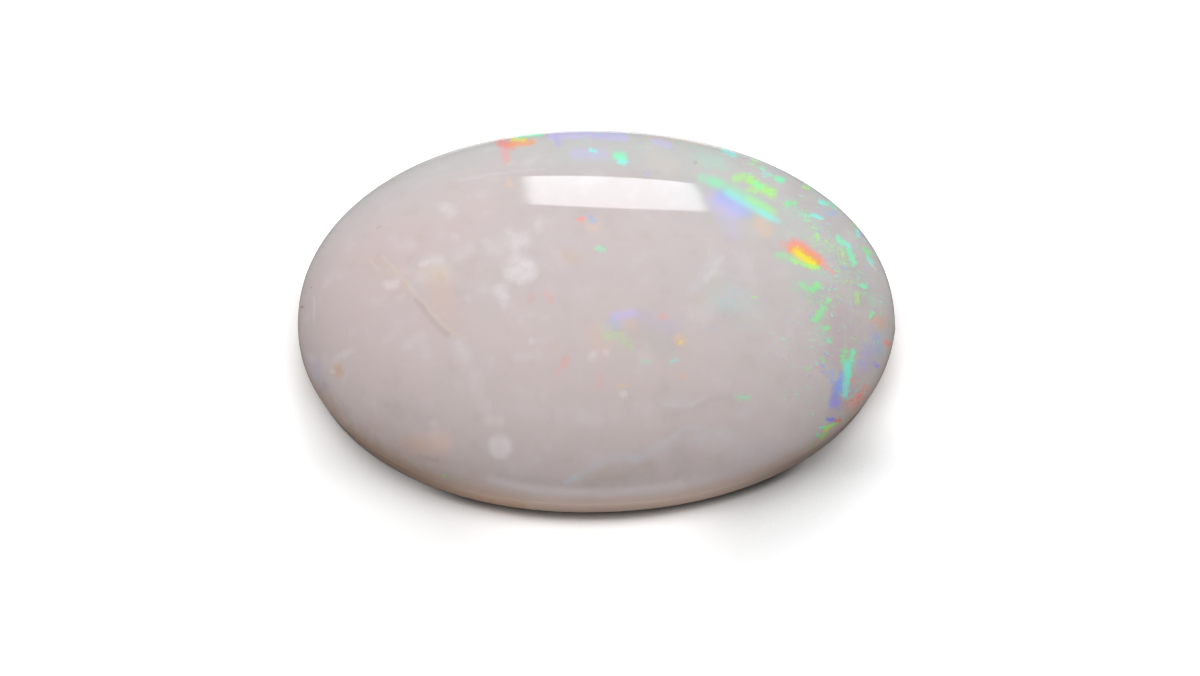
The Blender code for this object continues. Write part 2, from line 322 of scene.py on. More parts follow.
# Small bright flashes, from the upper left round to the lower right
FLASHES = (
    Mark("corner pink", Hue.PINK, ((504, 148), (506, 160)), 3.8, 0.55),
    Mark("corner red", Hue.RED, ((500, 142), (511, 145)), 4.4, 0.66),
    Mark("corner orange", Hue.ORANGE, ((512, 144), (532, 142)), 3.2, 0.80),
    Mark("corner yellow", Hue.YELLOW, ((512, 139), (524, 140)), 2.2, 0.80),
    Mark("corner mint", Hue.MINT, ((518, 136), (542, 133.5)), 2.6, 0.90),
    Mark("violet speck at the top", Hue.VIOLET, ((556, 138), (558, 144)), 2.8, 0.45),
    Mark("cyan speck in the haze", Hue.CYAN, ((591, 150.5), (595, 151.5)), 2.0, 0.75),
    Mark("mint spot at the top", Hue.MINT, ((617, 156), (622, 157)), 4.2, 0.80),
    Mark("cyan foot of that spot", Hue.CYAN, ((620, 161), (624, 162)), 2.8, 0.70),
    Mark("violet specks at the bar", Hue.VIOLET, ((645, 172), (649, 175)), 2.4, 0.20),
    Mark("tan spot left of the bar", Hue.PEACH, ((508, 181), (510, 184)), 3.0, 0.55),
    Mark("cyan dash at the edge", Hue.CYAN, ((723, 149.5), (734, 155)), 2.0, 0.85),
    Mark("lime speck at the edge", Hue.LIME, ((753, 160), (757, 161.5)), 1.8, 0.55),
    Mark("mint speck at the edge", Hue.MINT, ((762.5, 168), (763.5, 170)), 1.8, 0.70),
    Mark("cyan speck at the edge", Hue.CYAN, ((764, 173), (770, 175)), 2.0, 0.45),
    Mark("mint spot at the edge", Hue.MINT, ((777, 178.5), (782, 180)), 2.8, 0.90),
    Mark("first lime patch", Hue.LIME, ((736, 179), (742, 176)), 3.8, 0.55),
    Mark("second lime patch", Hue.LIME, ((750, 180), (760, 187), (772, 193)), 4.4, 0.80),
    Mark("its mint heart", Hue.MINT, ((756, 184), (760, 186)), 2.6, 0.55),
    Mark("its lower left", Hue.LIME, ((747, 190), (756, 191)), 2.2, 0.45),
    Mark("green speck right of it", Hue.GREEN, ((786, 204), (794, 203)), 2.4, 0.70),
    Mark("lime speck above it", Hue.LIME, ((804, 187), (809, 188)), 1.9, 0.75),
    Mark("cyan dash right of that", Hue.CYAN, ((820, 202), (824, 203)), 2.2, 0.85),
    Mark("lime dash right of that", Hue.MINT, ((828, 203), (836, 207)), 1.9, 0.85),
    Mark("cyan dash under that", Hue.CYAN, ((812, 215), (821, 218)), 1.9, 0.85),
    Mark("mint speck left of that", Hue.MINT, ((802, 215), (809, 217)), 2.0, 0.45),
    Mark("blue speck right of that", Hue.AZURE, ((826, 215), (834, 213)), 1.8, 0.40),
    Mark("red of the fire patch", Hue.CORAL, ((794, 243), (800, 245), (811, 254), (820, 260)), 4.2, 0.85),
    Mark("faint red left of it", Hue.CORAL, ((783, 245), (792, 246)), 3.8, 0.34),
    Mark("orange of the fire patch", Hue.ORANGE, ((792, 250), (802, 251), (817, 262)), 4.2, 0.80),
    Mark("yellow of the fire patch", Hue.YELLOW, ((797, 252), (804, 258), (813, 264)), 3.8, 0.95),
    Mark("lime of the fire patch", Hue.LIME, ((793, 260), (804, 265), (818, 268)), 2.2, 0.66),
    Mark("green left of the fire patch", Hue.GREEN, ((778, 255), (790, 258)), 3.6, 0.36, 1.0),
    Mark("red tail of the fire patch", Hue.CORAL, ((823, 264), (826, 267)), 2.6, 0.70),
    Mark("its last red speck", Hue.CORAL, ((831, 271), (833, 273)), 1.8, 0.60),
    Mark("lime speck over the fire patch", Hue.LIME, ((817, 236.5), (819, 238)), 2.0, 0.60),
    Mark("mint dash on the shoulder", Hue.MINT, ((838, 238), (842, 243)), 2.8, 0.80),
    Mark("cyan speck on the shoulder", Hue.CYAN, ((846, 243), (849, 246)), 1.9, 0.80),
    Mark("long mint dash on the shoulder", Hue.MINT, ((848, 249), (851, 256), (854, 263)), 2.6, 0.78),
    Mark("lime dash left of that", Hue.LIME, ((841, 249), (843, 255)), 1.8, 0.50),
    Mark("lime speck on the rim", Hue.LIME, ((854, 223), (859, 229)), 1.8, 0.75),
    Mark("cyan speck on the rim", Hue.CYAN, ((857, 232), (859, 236)), 2.0, 0.85),
    Mark("violet speck on the rim", Hue.VIOLET, ((861, 232), (863.5, 235)), 1.9, 0.80),
    Mark("green dash near the rim", Hue.GREEN, ((865, 249), (869, 257)), 2.4, 0.82),
    Mark("cyan dash near the rim", Hue.CYAN, ((868, 258), (872, 264)), 2.2, 0.65),
    Mark("white dash near the rim", Tone.WHITE, ((871, 264), (875, 269)), 1.4, 0.50),
    Mark("first green patch under the fire", Hue.GREEN, ((802, 285), (808, 289)), 3.2, 0.46),
    Mark("second green patch under the fire", Hue.GREEN, ((813, 289), (818, 287)), 3.2, 0.62),
    Mark("green speck under those", Hue.GREEN, ((827, 300), (829, 302)), 2.0, 0.80),
    Mark("slanting green patch", Hue.GREEN, ((815, 320), (819, 314), (824, 308)), 3.0, 0.66),
    Mark("green speck under that", Hue.GREEN, ((825, 328.5), (828, 327)), 1.9, 0.65),
    Mark("faint mint speck", Hue.MINT, ((828, 340), (830, 341)), 2.0, 0.50),
    Mark("lime speck by the mauve shade", Hue.LIME, ((857, 293), (858, 302)), 2.2, 0.45),
    Mark("mint speck near the thread", Hue.MINT, ((862, 285), (865, 287)), 2.4, 0.75),
    Mark("mint dash at the right", Hue.MINT, ((869, 316.5), (873, 312.5)), 1.8, 0.82),
    Mark("pale green haze at the right", Hue.MINT, ((871, 298), (873, 303)), 4.0, 0.22),
    Mark("red speck at the right tip", Hue.CORAL, ((886.5, 342), (888.5, 345)), 2.2, 0.90),
    Mark("violet speck at the lower right", Hue.VIOLET, ((875, 364), (877.5, 366)), 1.7, 0.90),
    Mark("blue side of the upright streak", Hue.BLUE, ((838, 384), (835, 396), (834, 403)), 4.4, 0.60),
    Mark("azure part of the upright streak", Hue.AZURE, ((842, 374), (839, 390)), 3.4, 0.66),
    Mark("azure dash left of it", Hue.AZURE, ((831.5, 370), (832, 382)), 1.8, 0.50),
    Mark("violet foot of the upright streak", Hue.VIOLET, ((832, 404), (838, 403)), 2.6, 0.70),
    Mark("small violet speck under that", Hue.VIOLET, ((837, 409), (838.5, 410)), 1.5, 0.60),
    Mark("green head of the upright streak", Hue.GREEN, ((843, 352), (844, 366)), 2.8, 0.55),
    Mark("mint part of the upright streak", Hue.MINT, ((853, 351), (850, 364), (848, 378)), 2.5, 0.85),
    Mark("cyan part of the upright streak", Hue.CYAN, ((847, 364), (846.5, 380), (845, 395)), 3.0, 0.82),
    Mark("first red speck beside it", Hue.CORAL, ((852, 380.5), (854, 381)), 1.8, 0.75),
    Mark("second red speck beside it", Hue.CORAL, ((865, 387), (867, 389)), 2.1, 0.92),
    Mark("red patch under it", Hue.CORAL, ((852, 406), (857, 401), (861, 396)), 3.6, 0.55),
    Mark("blue speck of the squiggle", Hue.BLUE, ((828, 419), (834, 420.5)), 2.0, 0.85),
    Mark("red speck of the squiggle", Hue.RED, ((836.5, 422), (839.5, 420.5)), 2.0, 0.90),
    Mark("red speck over the middle", Hue.CORAL, ((580, 219), (582, 220)), 2.8, 0.75),
    Mark("blue speck beside it", Hue.AZURE, ((591, 218), (593, 221)), 2.8, 0.34),
    Mark("peach speck under it", Hue.PEACH, ((590, 227), (597, 228)), 3.8, 0.38),
    Mark("mint dash over the middle", Hue.MINT, ((597, 248.5), (604, 249)), 2.4, 0.45),
    Mark("pink speck over the middle", Hue.PINK, ((531, 297), (534, 297)), 3.4, 0.18, 1.0),
    Mark("orange speck over the middle", Hue.CORAL, ((548, 294), (550, 301)), 3.2, 0.18, 1.0),
    Mark("red speck in the middle", Hue.CORAL, ((661, 316), (664, 317)), 3.2, 0.26, 1.0),
    Mark("orange spot in the middle", Hue.PEACH, ((678, 339), (682, 342)), 4.2, 0.62, 1.0),
    Mark("its yellow heart", Hue.YELLOW, ((680, 342), (681, 343)), 1.8, 0.45),
    Mark("cyan speck in the middle", Hue.CYAN, ((673, 362), (676, 360)), 2.4, 0.32),
    Mark("mint specks in the middle", Hue.MINT, ((641, 361.5), (650, 362)), 2.2, 0.20),
    Mark("orange spot left of the middle", Hue.CORAL, ((564, 365), (566, 360)), 3.2, 0.30, 1.0),
    Mark("its faint foot", Hue.CORAL, ((557, 371), (560, 369)), 2.8, 0.14),
    Mark("orange dash under the middle", Hue.CORAL, ((598, 387), (602, 376)), 3.0, 0.14, 1.0),
    Mark("white spot under the middle", Tone.WHITE, ((622, 393), (624, 394)), 3.4, 0.66),
    Mark("its orange ring", Hue.PEACH, ((618, 388), (621, 384), (626, 386)), 2.0, 0.45),
    Mark("red speck right of that", Hue.CORAL, ((683, 375), (684, 377)), 2.6, 0.28, 1.0),
    Mark("lime speck right of the middle", Hue.LIME, ((754, 297), (755, 298)), 1.8, 0.60),
    Mark("mint speck at the ridge", Hue.MINT, ((741, 397.5), (747, 398)), 2.2, 0.30),
    Mark("green speck at the lower left", Hue.GREEN, ((444.6, 475.3), (445.4, 475.7)), 1.5, 0.85),
)

# The thin bright squiggle at the lower right
SQUIGGLE = (
    Mark("lime line", Hue.LIME, ((834, 424), (826, 428), (826, 432.5), (820.5, 439.5)), 1.5, 0.98),
    Mark("yellow heart of the line", Hue.YELLOW, ((829, 426.5), (826, 431)), 0.9, 0.80),
    Mark("mint line left of it", Hue.MINT, ((820.5, 427.5), (825.5, 426.5)), 1.1, 0.85),
    Mark("mint speck under that", Hue.MINT, ((817.5, 434), (819.5, 436.5)), 1.3, 0.90),
    Mark("green line at its foot", Hue.GREEN, ((811.8, 444.5), (809.3, 449)), 1.2, 0.88),
    Mark("lime line over it", Hue.LIME, ((836, 424), (839, 422)), 1.0, 0.60),
)


@dataclass(frozen=True)
class Layer:
    """Marks that are drawn one after the other with the same kind of edge.

    Attributes:
        name: what they are.
        edge: how their edges run.
        marks: the marks.
    """

    name: str
    edge: Edge
    marks: tuple[Mark, ...]


LAYERS = (
    Layer("clouds", Edge.FLUFFY, CLOUDS),
    Layer("fine lines", Edge.WAVY, FINE_LINES),
    Layer("soft flashes", Edge.SMOOTH, SOFT_FLASHES),
    Layer("flecks", Edge.SPECKLED, FLECKS),
    Layer("flashes", Edge.GRAINY, FLASHES),
    Layer("squiggle", Edge.WAVY, SQUIGGLE),
)

RIM_SHADE_LAYER = Layer("painted rim shade", Edge.WAVY, RIM_SHADE_LINES)


@dataclass(frozen=True)
class PhotoView:
    """The place that the photograph was taken from, and how its pixels meet the stone.

    Attributes:
        width: the picture's width, in pixels.
        height: its height.
        elevation: the camera's angle above the surface.
        distance: from the lens to the aim point, in metres.
        aim_height: the aim point's height in the stone.
        aim_pixel: where the aim point shows in the picture.
        pixel_size: what a pixel covers at the aim point's distance, in metres.
        sensor_width: the sensor's width, in millimetres.
        clip_start: how near the camera sees, in metres.
        clip_end: how far it sees.
        search: how far before and behind the aim point a passing line of sight is followed.
    """

    width: int = 1200
    height: int = 676
    elevation: float = math.radians(56.5)
    distance: float = 0.300
    aim_height: float = 0.0035
    aim_pixel: Pixel = (596.5, 292.6)
    pixel_size: float = MM / 24.0
    sensor_width: float = 36.0
    clip_start: float = 0.01
    clip_end: float = 10.0
    search: int = 8

    @property
    def right(self) -> Vector:
        """Direction of the picture's rows."""
        return Vector((1.0, 0.0, 0.0))

    @property
    def up(self) -> Vector:
        """Direction up the picture's columns."""
        return Vector((0.0, math.sin(self.elevation), math.cos(self.elevation)))

    @property
    def back(self) -> Vector:
        """Direction from the stone to the camera."""
        return Vector((0.0, -math.cos(self.elevation), math.sin(self.elevation)))

    @property
    def eye(self) -> Vector:
        """Find the camera's place.

        Returns:
            The place, in metres.
        """
        across = (0.5 * self.width - self.aim_pixel[0]) * self.pixel_size
        down = (0.5 * self.height - self.aim_pixel[1]) * self.pixel_size
        aim = Vector((0.0, 0.0, self.aim_height))
        return aim + self.back * self.distance + self.right * across - self.up * down

    def ray(self, pixel: Pixel) -> Vector:
        """Find the way that the camera looks through a pixel.

        Args:
            pixel: a place in the photograph.

        Returns:
            The direction, of length one.
        """
        across = (pixel[0] - 0.5 * self.width) * self.pixel_size
        down = (pixel[1] - 0.5 * self.height) * self.pixel_size
        return (self.right * across - self.up * down - self.back * self.distance).normalized()

    def flatten(self, point: Vector) -> Vector:
        """Lay a point flat along the photograph's view.

        Args:
            point: a place in the stone, in metres.

        Returns:
            Its place across and up the picture, in millimetres, with no depth.
        """
        return Vector((point.dot(self.right), point.dot(self.up), 0.0)) * PER_MM

    def on_stone(self, surface: BVHTree, pixel: Pixel) -> Vector:
        """Find where a pixel of the photograph meets the stone, or passes its edge most closely.

        Args:
            surface: the stone's surface.
            pixel: a place in the photograph.

        Returns:
            The point on the stone, laid flat, in millimetres.
        """
        way = self.ray(pixel)
        point, _, _, _ = surface.ray_cast(self.eye, way)
        if point is None:
            steps = range(-self.search, self.search + 1)
            passed = (self.eye + way * (self.distance + step * MM) for step in steps)
            point = min((surface.find_nearest(place) for place in passed), key=lambda found: found[3])[0]
        return self.flatten(point)

    def make_camera(self) -> bpy.types.Object:
        """Stand the camera where the photograph was taken.

        Returns:
            The camera.
        """
        data = bpy.data.cameras.new("photo_camera")
        data.sensor_width = self.sensor_width
        data.lens = self.sensor_width * self.distance / (self.width * self.pixel_size)
        data.clip_start = self.clip_start
        data.clip_end = self.clip_end
        camera = bpy.data.objects.new("photo_camera", data)
        camera.location = self.eye
        camera.rotation_mode = "QUATERNION"
        camera.rotation_quaternion = (-self.back).to_track_quat("-Z", "Y")
        bpy.context.scene.collection.objects.link(camera)
        bpy.context.scene.camera = camera
        return camera


class Wiring:
    """Adds shader nodes to one tree and joins them."""

    def __init__(self, tree: bpy.types.NodeTree) -> None:
        """Keep the tree that the nodes go in."""
        self.tree = tree

    def node(self, kind: str, **settings: object) -> bpy.types.Node:
        """Add a node.

        Args:
            kind: the node's type name.
            settings: properties to set on it.

        Returns:
            The node.
        """
        made = self.tree.nodes.new(kind)
        for name, value in settings.items():
            setattr(made, name, value)
        return made

    def feed(self, socket: bpy.types.NodeSocket, source: object) -> None:
        """Join an output to an input, or set the input to a fixed value.

        Args:
            socket: the input.
            source: the output or the value.
        """
        if isinstance(source, bpy.types.NodeSocket):
            self.tree.links.new(source, socket)
        else:
            socket.default_value = source

    def math(self, operation: str, *values: object) -> bpy.types.NodeSocket:
        """Work out a number.

        Args:
            operation: what to do with the values.
            values: outputs or fixed numbers.

        Returns:
            The result's socket.
        """
        made = self.node("ShaderNodeMath", operation=operation)
        for socket, value in zip(made.inputs, values):
            self.feed(socket, value)
        return made.outputs["Value"]

    def limit(self, value: object) -> bpy.types.NodeSocket:
        """Keep a number between 0 and 1.

        Args:
            value: the number.

        Returns:
            The result's socket.
        """
        made = self.node("ShaderNodeClamp")
        self.feed(made.inputs["Value"], value)
        return made.outputs["Result"]

    def vector(self, operation: str, *values: object, scale: object = None) -> bpy.types.NodeSocket:
        """Work out a vector, or a number from vectors.

        Args:
            operation: what to do with the values.
            values: outputs or fixed vectors.
            scale: the factor of a SCALE.

        Returns:
            The result's socket.
        """
        made = self.node("ShaderNodeVectorMath", operation=operation)
        for socket, value in zip(made.inputs, values):
            self.feed(socket, value)
        if scale is not None:
            self.feed(made.inputs["Scale"], scale)
        number = operation in ("DOT_PRODUCT", "LENGTH", "DISTANCE")
        return made.outputs["Value" if number else "Vector"]

    def axes(self, point: object) -> bpy.types.bpy_prop_collection:
        """Take a vector apart.

        Args:
            point: the vector.

        Returns:
            The outputs X, Y and Z.
        """
        made = self.node("ShaderNodeSeparateXYZ")
        self.feed(made.inputs["Vector"], point)
        return made.outputs

    def ease(self, value: object, low: object, high: object) -> bpy.types.NodeSocket:
        """Rise smoothly from 0 to 1 as a value goes from low to high.

        Args:
            value: the value.
            low: where the result is 0.
            high: where the result is 1.

        Returns:
            The result's socket.
        """
        made = self.node("ShaderNodeMapRange", interpolation_type="SMOOTHSTEP", clamp=False)
        for name, source in (("Value", value), ("From Min", low), ("From Max", high)):
            self.feed(made.inputs[name], source)
        return made.outputs["Result"]

    def blend(self, factor: object, first: object, second: object) -> bpy.types.NodeSocket:
        """Blend two colours.

        Args:
            factor: how much of the second shows.
            first: the colour at factor 0.
            second: the colour at factor 1.

        Returns:
            The blended colour's socket.
        """
        made = self.node("ShaderNodeMix", data_type="RGBA")
        self.feed(made.inputs["Factor"], factor)
        for name, source in (("A", first), ("B", second)):
            socket = next(s for s in made.inputs if s.name == name and s.type == "RGBA")
            self.feed(socket, (*source, 1.0) if isinstance(source, tuple) else source)
        return next(s for s in made.outputs if s.type == "RGBA")

    def noise(self, place: object, scale: float, detail: float = SOFT_DETAIL) -> bpy.types.Node:
        """Add a cloud-like noise.

        Args:
            place: where it is read.
            scale: lumps to the millimetre.
            detail: how many finer noises are on it.

        Returns:
            The noise node, with a Fac and a Color.
        """
        made = self.node("ShaderNodeTexNoise")
        self.feed(made.inputs["Vector"], place)
        made.inputs["Scale"].default_value = scale
        made.inputs["Detail"].default_value = detail
        return made

    def shift(self, place: object, colour: object, amount: object) -> bpy.types.NodeSocket:
        """Shift a place on the flat picture by a random colour.

        Args:
            place: the place.
            colour: the colour, which doesn't shift it where it is middle grey.
            amount: how far it shifts it, in millimetres.

        Returns:
            The shifted place's socket.
        """
        centred = self.vector("SUBTRACT", colour, MIDDLE_GREY)
        flat = self.vector("MULTIPLY", centred, FLATTENING)
        moved = self.vector("SCALE", flat, scale=amount)
        return self.vector("ADD", place, moved)

    def group(self, tree: bpy.types.NodeTree, **values: object) -> bpy.types.Node:
        """Place a node group.

        Args:
            tree: the group.
            values: outputs or fixed values for its inputs.

        Returns:
            The placed group.
        """
        made = self.node("ShaderNodeGroup", node_tree=tree)
        for name, value in values.items():
            self.feed(made.inputs[name], value)
        return made


def new_group(name: str, inputs: dict[str, str],
              outputs: dict[str, str]) -> tuple[Wiring, bpy.types.Node, bpy.types.Node]:
    """Start a shader node group with named sockets.

    Args:
        name: the group's name.
        inputs: each input's name and kind of socket.
        outputs: each output's name and kind of socket.

    Returns:
        Its wiring, its input node and its output node.
    """
    tree = bpy.data.node_groups.new(name, "ShaderNodeTree")
    for side, sockets in (("INPUT", inputs), ("OUTPUT", outputs)):
        for socket, kind in sockets.items():
            tree.interface.new_socket(socket, in_out=side, socket_type=f"NodeSocket{kind}")
    wiring = Wiring(tree)
    return wiring, wiring.node("NodeGroupInput"), wiring.node("NodeGroupOutput")


def stroke_group() -> bpy.types.NodeTree:
    """Make the group that draws one straight soft-edged stroke.

    Returns:
        The group, whose Mask is 1 on the stroke and 0 off it.
    """
    inputs = {"Place": "Vector", "Start": "Vector", "Span": "Vector", "Share": "Vector",
              "Inner": "Float", "Outer": "Float"}
    wiring, given, result = new_group("stroke", inputs, {"Mask": "Float"})
    along = wiring.vector("SUBTRACT", given.outputs["Place"], given.outputs["Start"])
    share = wiring.limit(wiring.vector("DOT_PRODUCT", along, given.outputs["Share"]))
    nearest = wiring.vector("SCALE", given.outputs["Span"], scale=share)
    away = wiring.vector("DISTANCE", along, nearest)
    wiring.feed(result.inputs["Mask"], wiring.ease(away, given.outputs["Outer"], given.outputs["Inner"]))
    return wiring.tree


def dot_group() -> bpy.types.NodeTree:
    """Make the group that draws one round soft-edged dot.

    Returns:
        The group, whose Mask is 1 on the dot and 0 off it.
    """
    inputs = {"Place": "Vector", "Middle": "Vector", "Inner": "Float", "Outer": "Float"}
    wiring, given, result = new_group("dot", inputs, {"Mask": "Float"})
    away = wiring.vector("DISTANCE", given.outputs["Place"], given.outputs["Middle"])
    wiring.feed(result.inputs["Mask"], wiring.ease(away, given.outputs["Outer"], given.outputs["Inner"]))
    return wiring.tree


def waver_group() -> bpy.types.NodeTree:
    """Make the group that shifts a place to and fro, so that what is drawn there has uneven edges.

    Returns:
        The group.
    """
    inputs = {"Place": "Vector", "Point": "Vector", "Scale": "Float", "Amount": "Float"}
    wiring, given, result = new_group("waver", inputs, {"Place": "Vector"})
    noise = wiring.noise(given.outputs["Point"], 1.0, FINE_DETAIL)
    wiring.feed(noise.inputs["Scale"], given.outputs["Scale"])
    shifted = wiring.shift(given.outputs["Place"], noise.outputs["Color"], given.outputs["Amount"])
    wiring.feed(result.inputs["Place"], shifted)
    return wiring.tree


def grain_group() -> bpy.types.NodeTree:
    """Make the group that breaks what is drawn into the stone's fine grains.

    Returns:
        The group, which shifts each grain's place as one and gives each grain a value of its own.
    """
    inputs = {"Place": "Vector", "Point": "Vector", "Scale": "Float", "Amount": "Float"}
    wiring, given, result = new_group("grains", inputs, {"Place": "Vector", "Value": "Float"})
    cells = wiring.node("ShaderNodeTexVoronoi", feature="F1")
    wiring.feed(cells.inputs["Vector"], given.outputs["Point"])
    wiring.feed(cells.inputs["Scale"], given.outputs["Scale"])
    cells.inputs["Randomness"].default_value = 1.0
    shifted = wiring.shift(given.outputs["Place"], cells.outputs["Color"], given.outputs["Amount"])
    wiring.feed(result.inputs["Place"], shifted)
    split = wiring.node("ShaderNodeSeparateColor")
    wiring.feed(split.inputs["Color"], cells.outputs["Color"])
    wiring.feed(result.inputs["Value"], split.outputs["Blue"])
    return wiring.tree


@dataclass(frozen=True)
class MilkyBody:
    """The slow changes of tone in the milky body. Lengths are in millimetres.

    Attributes:
        drift_scale: lumps to the millimetre of the noise that moves the changes of tone.
        drift_along: how far it moves them along the stone.
        drift_across: how far it moves them across the stone.
        rosy: where the rosy left end begins and where it is full.
        sage: the same for the greenish right end.
        far: the same for the cool far side, partly body tone and partly a painted reflection of the pale
            surroundings.
        near: the same for the pinkish near side.
        side_strength: how much of both sides' tones shows.
        mottle_scale: lumps to the millimetre of the mottling.
        mottle_detail: how many finer noises are on it.
        pale: the noise values where its pale parts begin and are full.
        pale_strength: how much of them shows.
        smoky: the noise values where its dark parts begin and are full.
        smoky_strength: how much of them shows.
    """

    drift_scale: float = 0.16
    drift_along: float = 14.0
    drift_across: float = 5.0
    rosy: Range = (-2.0, -10.0)
    sage: Range = (1.0, 9.0)
    far: Range = (0.5, 6.5)
    near: Range = (-1.0, -7.0)
    side_strength: float = 0.85
    mottle_scale: float = 0.9
    mottle_detail: float = 4.0
    pale: Range = (0.52, 0.75)
    pale_strength: float = 0.22
    smoky: Range = (0.46, 0.25)
    smoky_strength: float = 0.16

    def group(self) -> bpy.types.NodeTree:
        """Make the group that colours the body.

        Returns:
            The group, which reads a point in millimetres.
        """
        wiring, given, result = new_group("milky_body", {"Point": "Vector"}, {"Color": "Color"})
        point = given.outputs["Point"]
        axes = wiring.axes(point)
        drift = wiring.noise(point, self.drift_scale).outputs["Fac"]
        wander = wiring.math("MULTIPLY_ADD", drift, self.drift_along, -0.5 * self.drift_along)
        along = wiring.math("ADD", axes["X"], wander)
        rosy = wiring.ease(along, *self.rosy)
        sage = wiring.ease(along, *self.sage)
        tone = wiring.blend(rosy, Tone.MILK.value, Tone.ROSE.value)
        tone = wiring.blend(sage, tone, Tone.SAGE.value)
        across = wiring.math("ADD", axes["Y"], -0.5 * self.drift_across)
        across = wiring.math("MULTIPLY_ADD", drift, self.drift_across, across)
        # The cool far side is partly body tone and partly a painted reflection of the pale surroundings at
        # grazing angles
        for reach, colour in ((self.far, Tone.COOL_TONE_AND_REFLECTION), (self.near, Tone.BLUSH)):
            shown = wiring.math("MULTIPLY", wiring.ease(across, *reach), self.side_strength)
            tone = wiring.blend(shown, tone, colour.value)
        mottle = wiring.noise(point, self.mottle_scale, self.mottle_detail).outputs["Fac"]
        pale = wiring.math("MULTIPLY", wiring.ease(mottle, *self.pale), self.pale_strength)
        tone = wiring.blend(pale, tone, Tone.WHITE.value)
        smoky = wiring.math("MULTIPLY", wiring.ease(mottle, *self.smoky), self.smoky_strength)
        wiring.feed(result.inputs["Color"], wiring.blend(smoky, tone, Tone.FAWN.value))
        return wiring.tree


@dataclass(frozen=True)
class PinFire:
    """Small flecks of fire along the right and far edges of the stone.

    Attributes:
        half_length: half the stone's length, in millimetres.
        half_width: half its width.
        shake_scale: lumps to the millimetre of the noise that bends the rows of flecks.
        shake: how far it bends them, as a share of the way out to the edge.
        round_cells: flecks to the radian, round the stone.
        outward_cells: flecks from the middle out to the edge.
        lucky: the random values where a fleck begins to show and shows fully.
        size: a fleck's edge and its full part, as distances from its middle.
        patch_scale: lumps to the millimetre of the noise that leaves flecks out.
        patchy: its values where flecks begin to show and show fully.
        band: the way out, as a share, where flecks begin and where they are full.
        right_end: the turns, in radians, where the band of flecks begins and is full.
        far_end: the turns where it ends and where it is still full.
        strength: how much of the flecks shows.
        hues: their colours.
    """

    half_length: float = 12.5
    half_width: float = 9.0
    shake_scale: float = 2.2
    shake: float = 0.09
    round_cells: float = 34.0
    outward_cells: float = 84.0
    lucky: Range = (0.45, 1.0)
    size: Range = (0.62, 0.10)
    patch_scale: float = 0.9
    patchy: Range = (0.32, 0.62)
    band: Range = (0.58, 0.84)
    right_end: Range = (-0.95, -0.45)
    far_end: Range = (2.5, 0.9)
    strength: float = 0.66
    hues: tuple[Hue, ...] = (Hue.GREEN, Hue.MINT, Hue.CYAN, Hue.LIME,
                             Hue.GREEN, Hue.AZURE, Hue.VIOLET, Hue.PINK)

    def colour_ramp(self, wiring: Wiring) -> bpy.types.Node:
        """Lay the flecks' colours out in a ramp.

        Args:
            wiring: the group's wiring.

        Returns:
            The ramp.
        """
        ramp = wiring.node("ShaderNodeValToRGB")
        stops = ramp.color_ramp.elements
        last = len(self.hues) - 1
        for index in range(1, last):
            stops.new(index / last)
        for stop, hue in zip(stops, self.hues):
            stop.color = (*hue.value, 1.0)
        return ramp

    def group(self) -> bpy.types.NodeTree:
        """Make the group that scatters the flecks.

        Returns:
            The group, which reads a point in millimetres.
        """
        wiring, given, result = new_group("pinfire", {"Point": "Vector"}, {"Color": "Color", "Mask": "Float"})
        point = given.outputs["Point"]
        axes = wiring.axes(point)
        x = wiring.math("MULTIPLY", axes["X"], 1.0 / self.half_length)
        y = wiring.math("MULTIPLY", axes["Y"], 1.0 / self.half_width)
        turn = wiring.math("ARCTAN2", y, x)
        squares = wiring.math("ADD", wiring.math("MULTIPLY", x, x), wiring.math("MULTIPLY", y, y))
        out = wiring.math("SQRT", squares)
        shake = wiring.noise(point, self.shake_scale)
        shaken = wiring.math("MULTIPLY_ADD", shake.outputs["Fac"], self.shake, out)
        spot = wiring.node("ShaderNodeCombineXYZ")
        wiring.feed(spot.inputs["X"], wiring.math("MULTIPLY", turn, self.round_cells))
        wiring.feed(spot.inputs["Y"], wiring.math("MULTIPLY", shaken, self.outward_cells))
        cells = wiring.node("ShaderNodeTexVoronoi", feature="F1", voronoi_dimensions="2D")
        wiring.feed(cells.inputs["Vector"], spot.outputs["Vector"])
        cells.inputs["Scale"].default_value = 1.0
        chance = wiring.node("ShaderNodeSeparateColor")
        wiring.feed(chance.inputs["Color"], cells.outputs["Color"])
        ramp = self.colour_ramp(wiring)
        wiring.feed(ramp.inputs["Fac"], chance.outputs["Red"])
        wiring.feed(result.inputs["Color"], ramp.outputs["Color"])
        lucky = wiring.ease(chance.outputs["Green"], *self.lucky)
        near = wiring.ease(cells.outputs["Distance"], *self.size)
        patches = wiring.noise(point, self.patch_scale)
        patchy = wiring.ease(patches.outputs["Fac"], *self.patchy)
        band = wiring.ease(out, *self.band)
        right = wiring.math("MULTIPLY", wiring.ease(turn, *self.right_end), wiring.ease(turn, *self.far_end))
        bright = wiring.math("MULTIPLY", lucky, near)
        mask = wiring.math("MULTIPLY", bright, wiring.math("MULTIPLY", band, right))
        mask = wiring.math("MULTIPLY", wiring.math("MULTIPLY", mask, patchy), self.strength)
        wiring.feed(result.inputs["Mask"], mask)
        return wiring.tree


@dataclass(frozen=True)
class Ground:
    """What a layer of marks is drawn on.

    Attributes:
        place: where each point is drawn.
        density: how much of the marks shows there, if it isn't the same everywhere.
    """

    place: bpy.types.NodeSocket
    density: bpy.types.NodeSocket | None = None


@dataclass(frozen=True)
class Ripple:
    """How unevenly an edge runs.

    Attributes:
        scale: lumps or grains to the millimetre.
        amount: how far they shift the edge, in millimetres.
    """

    scale: float
    amount: float


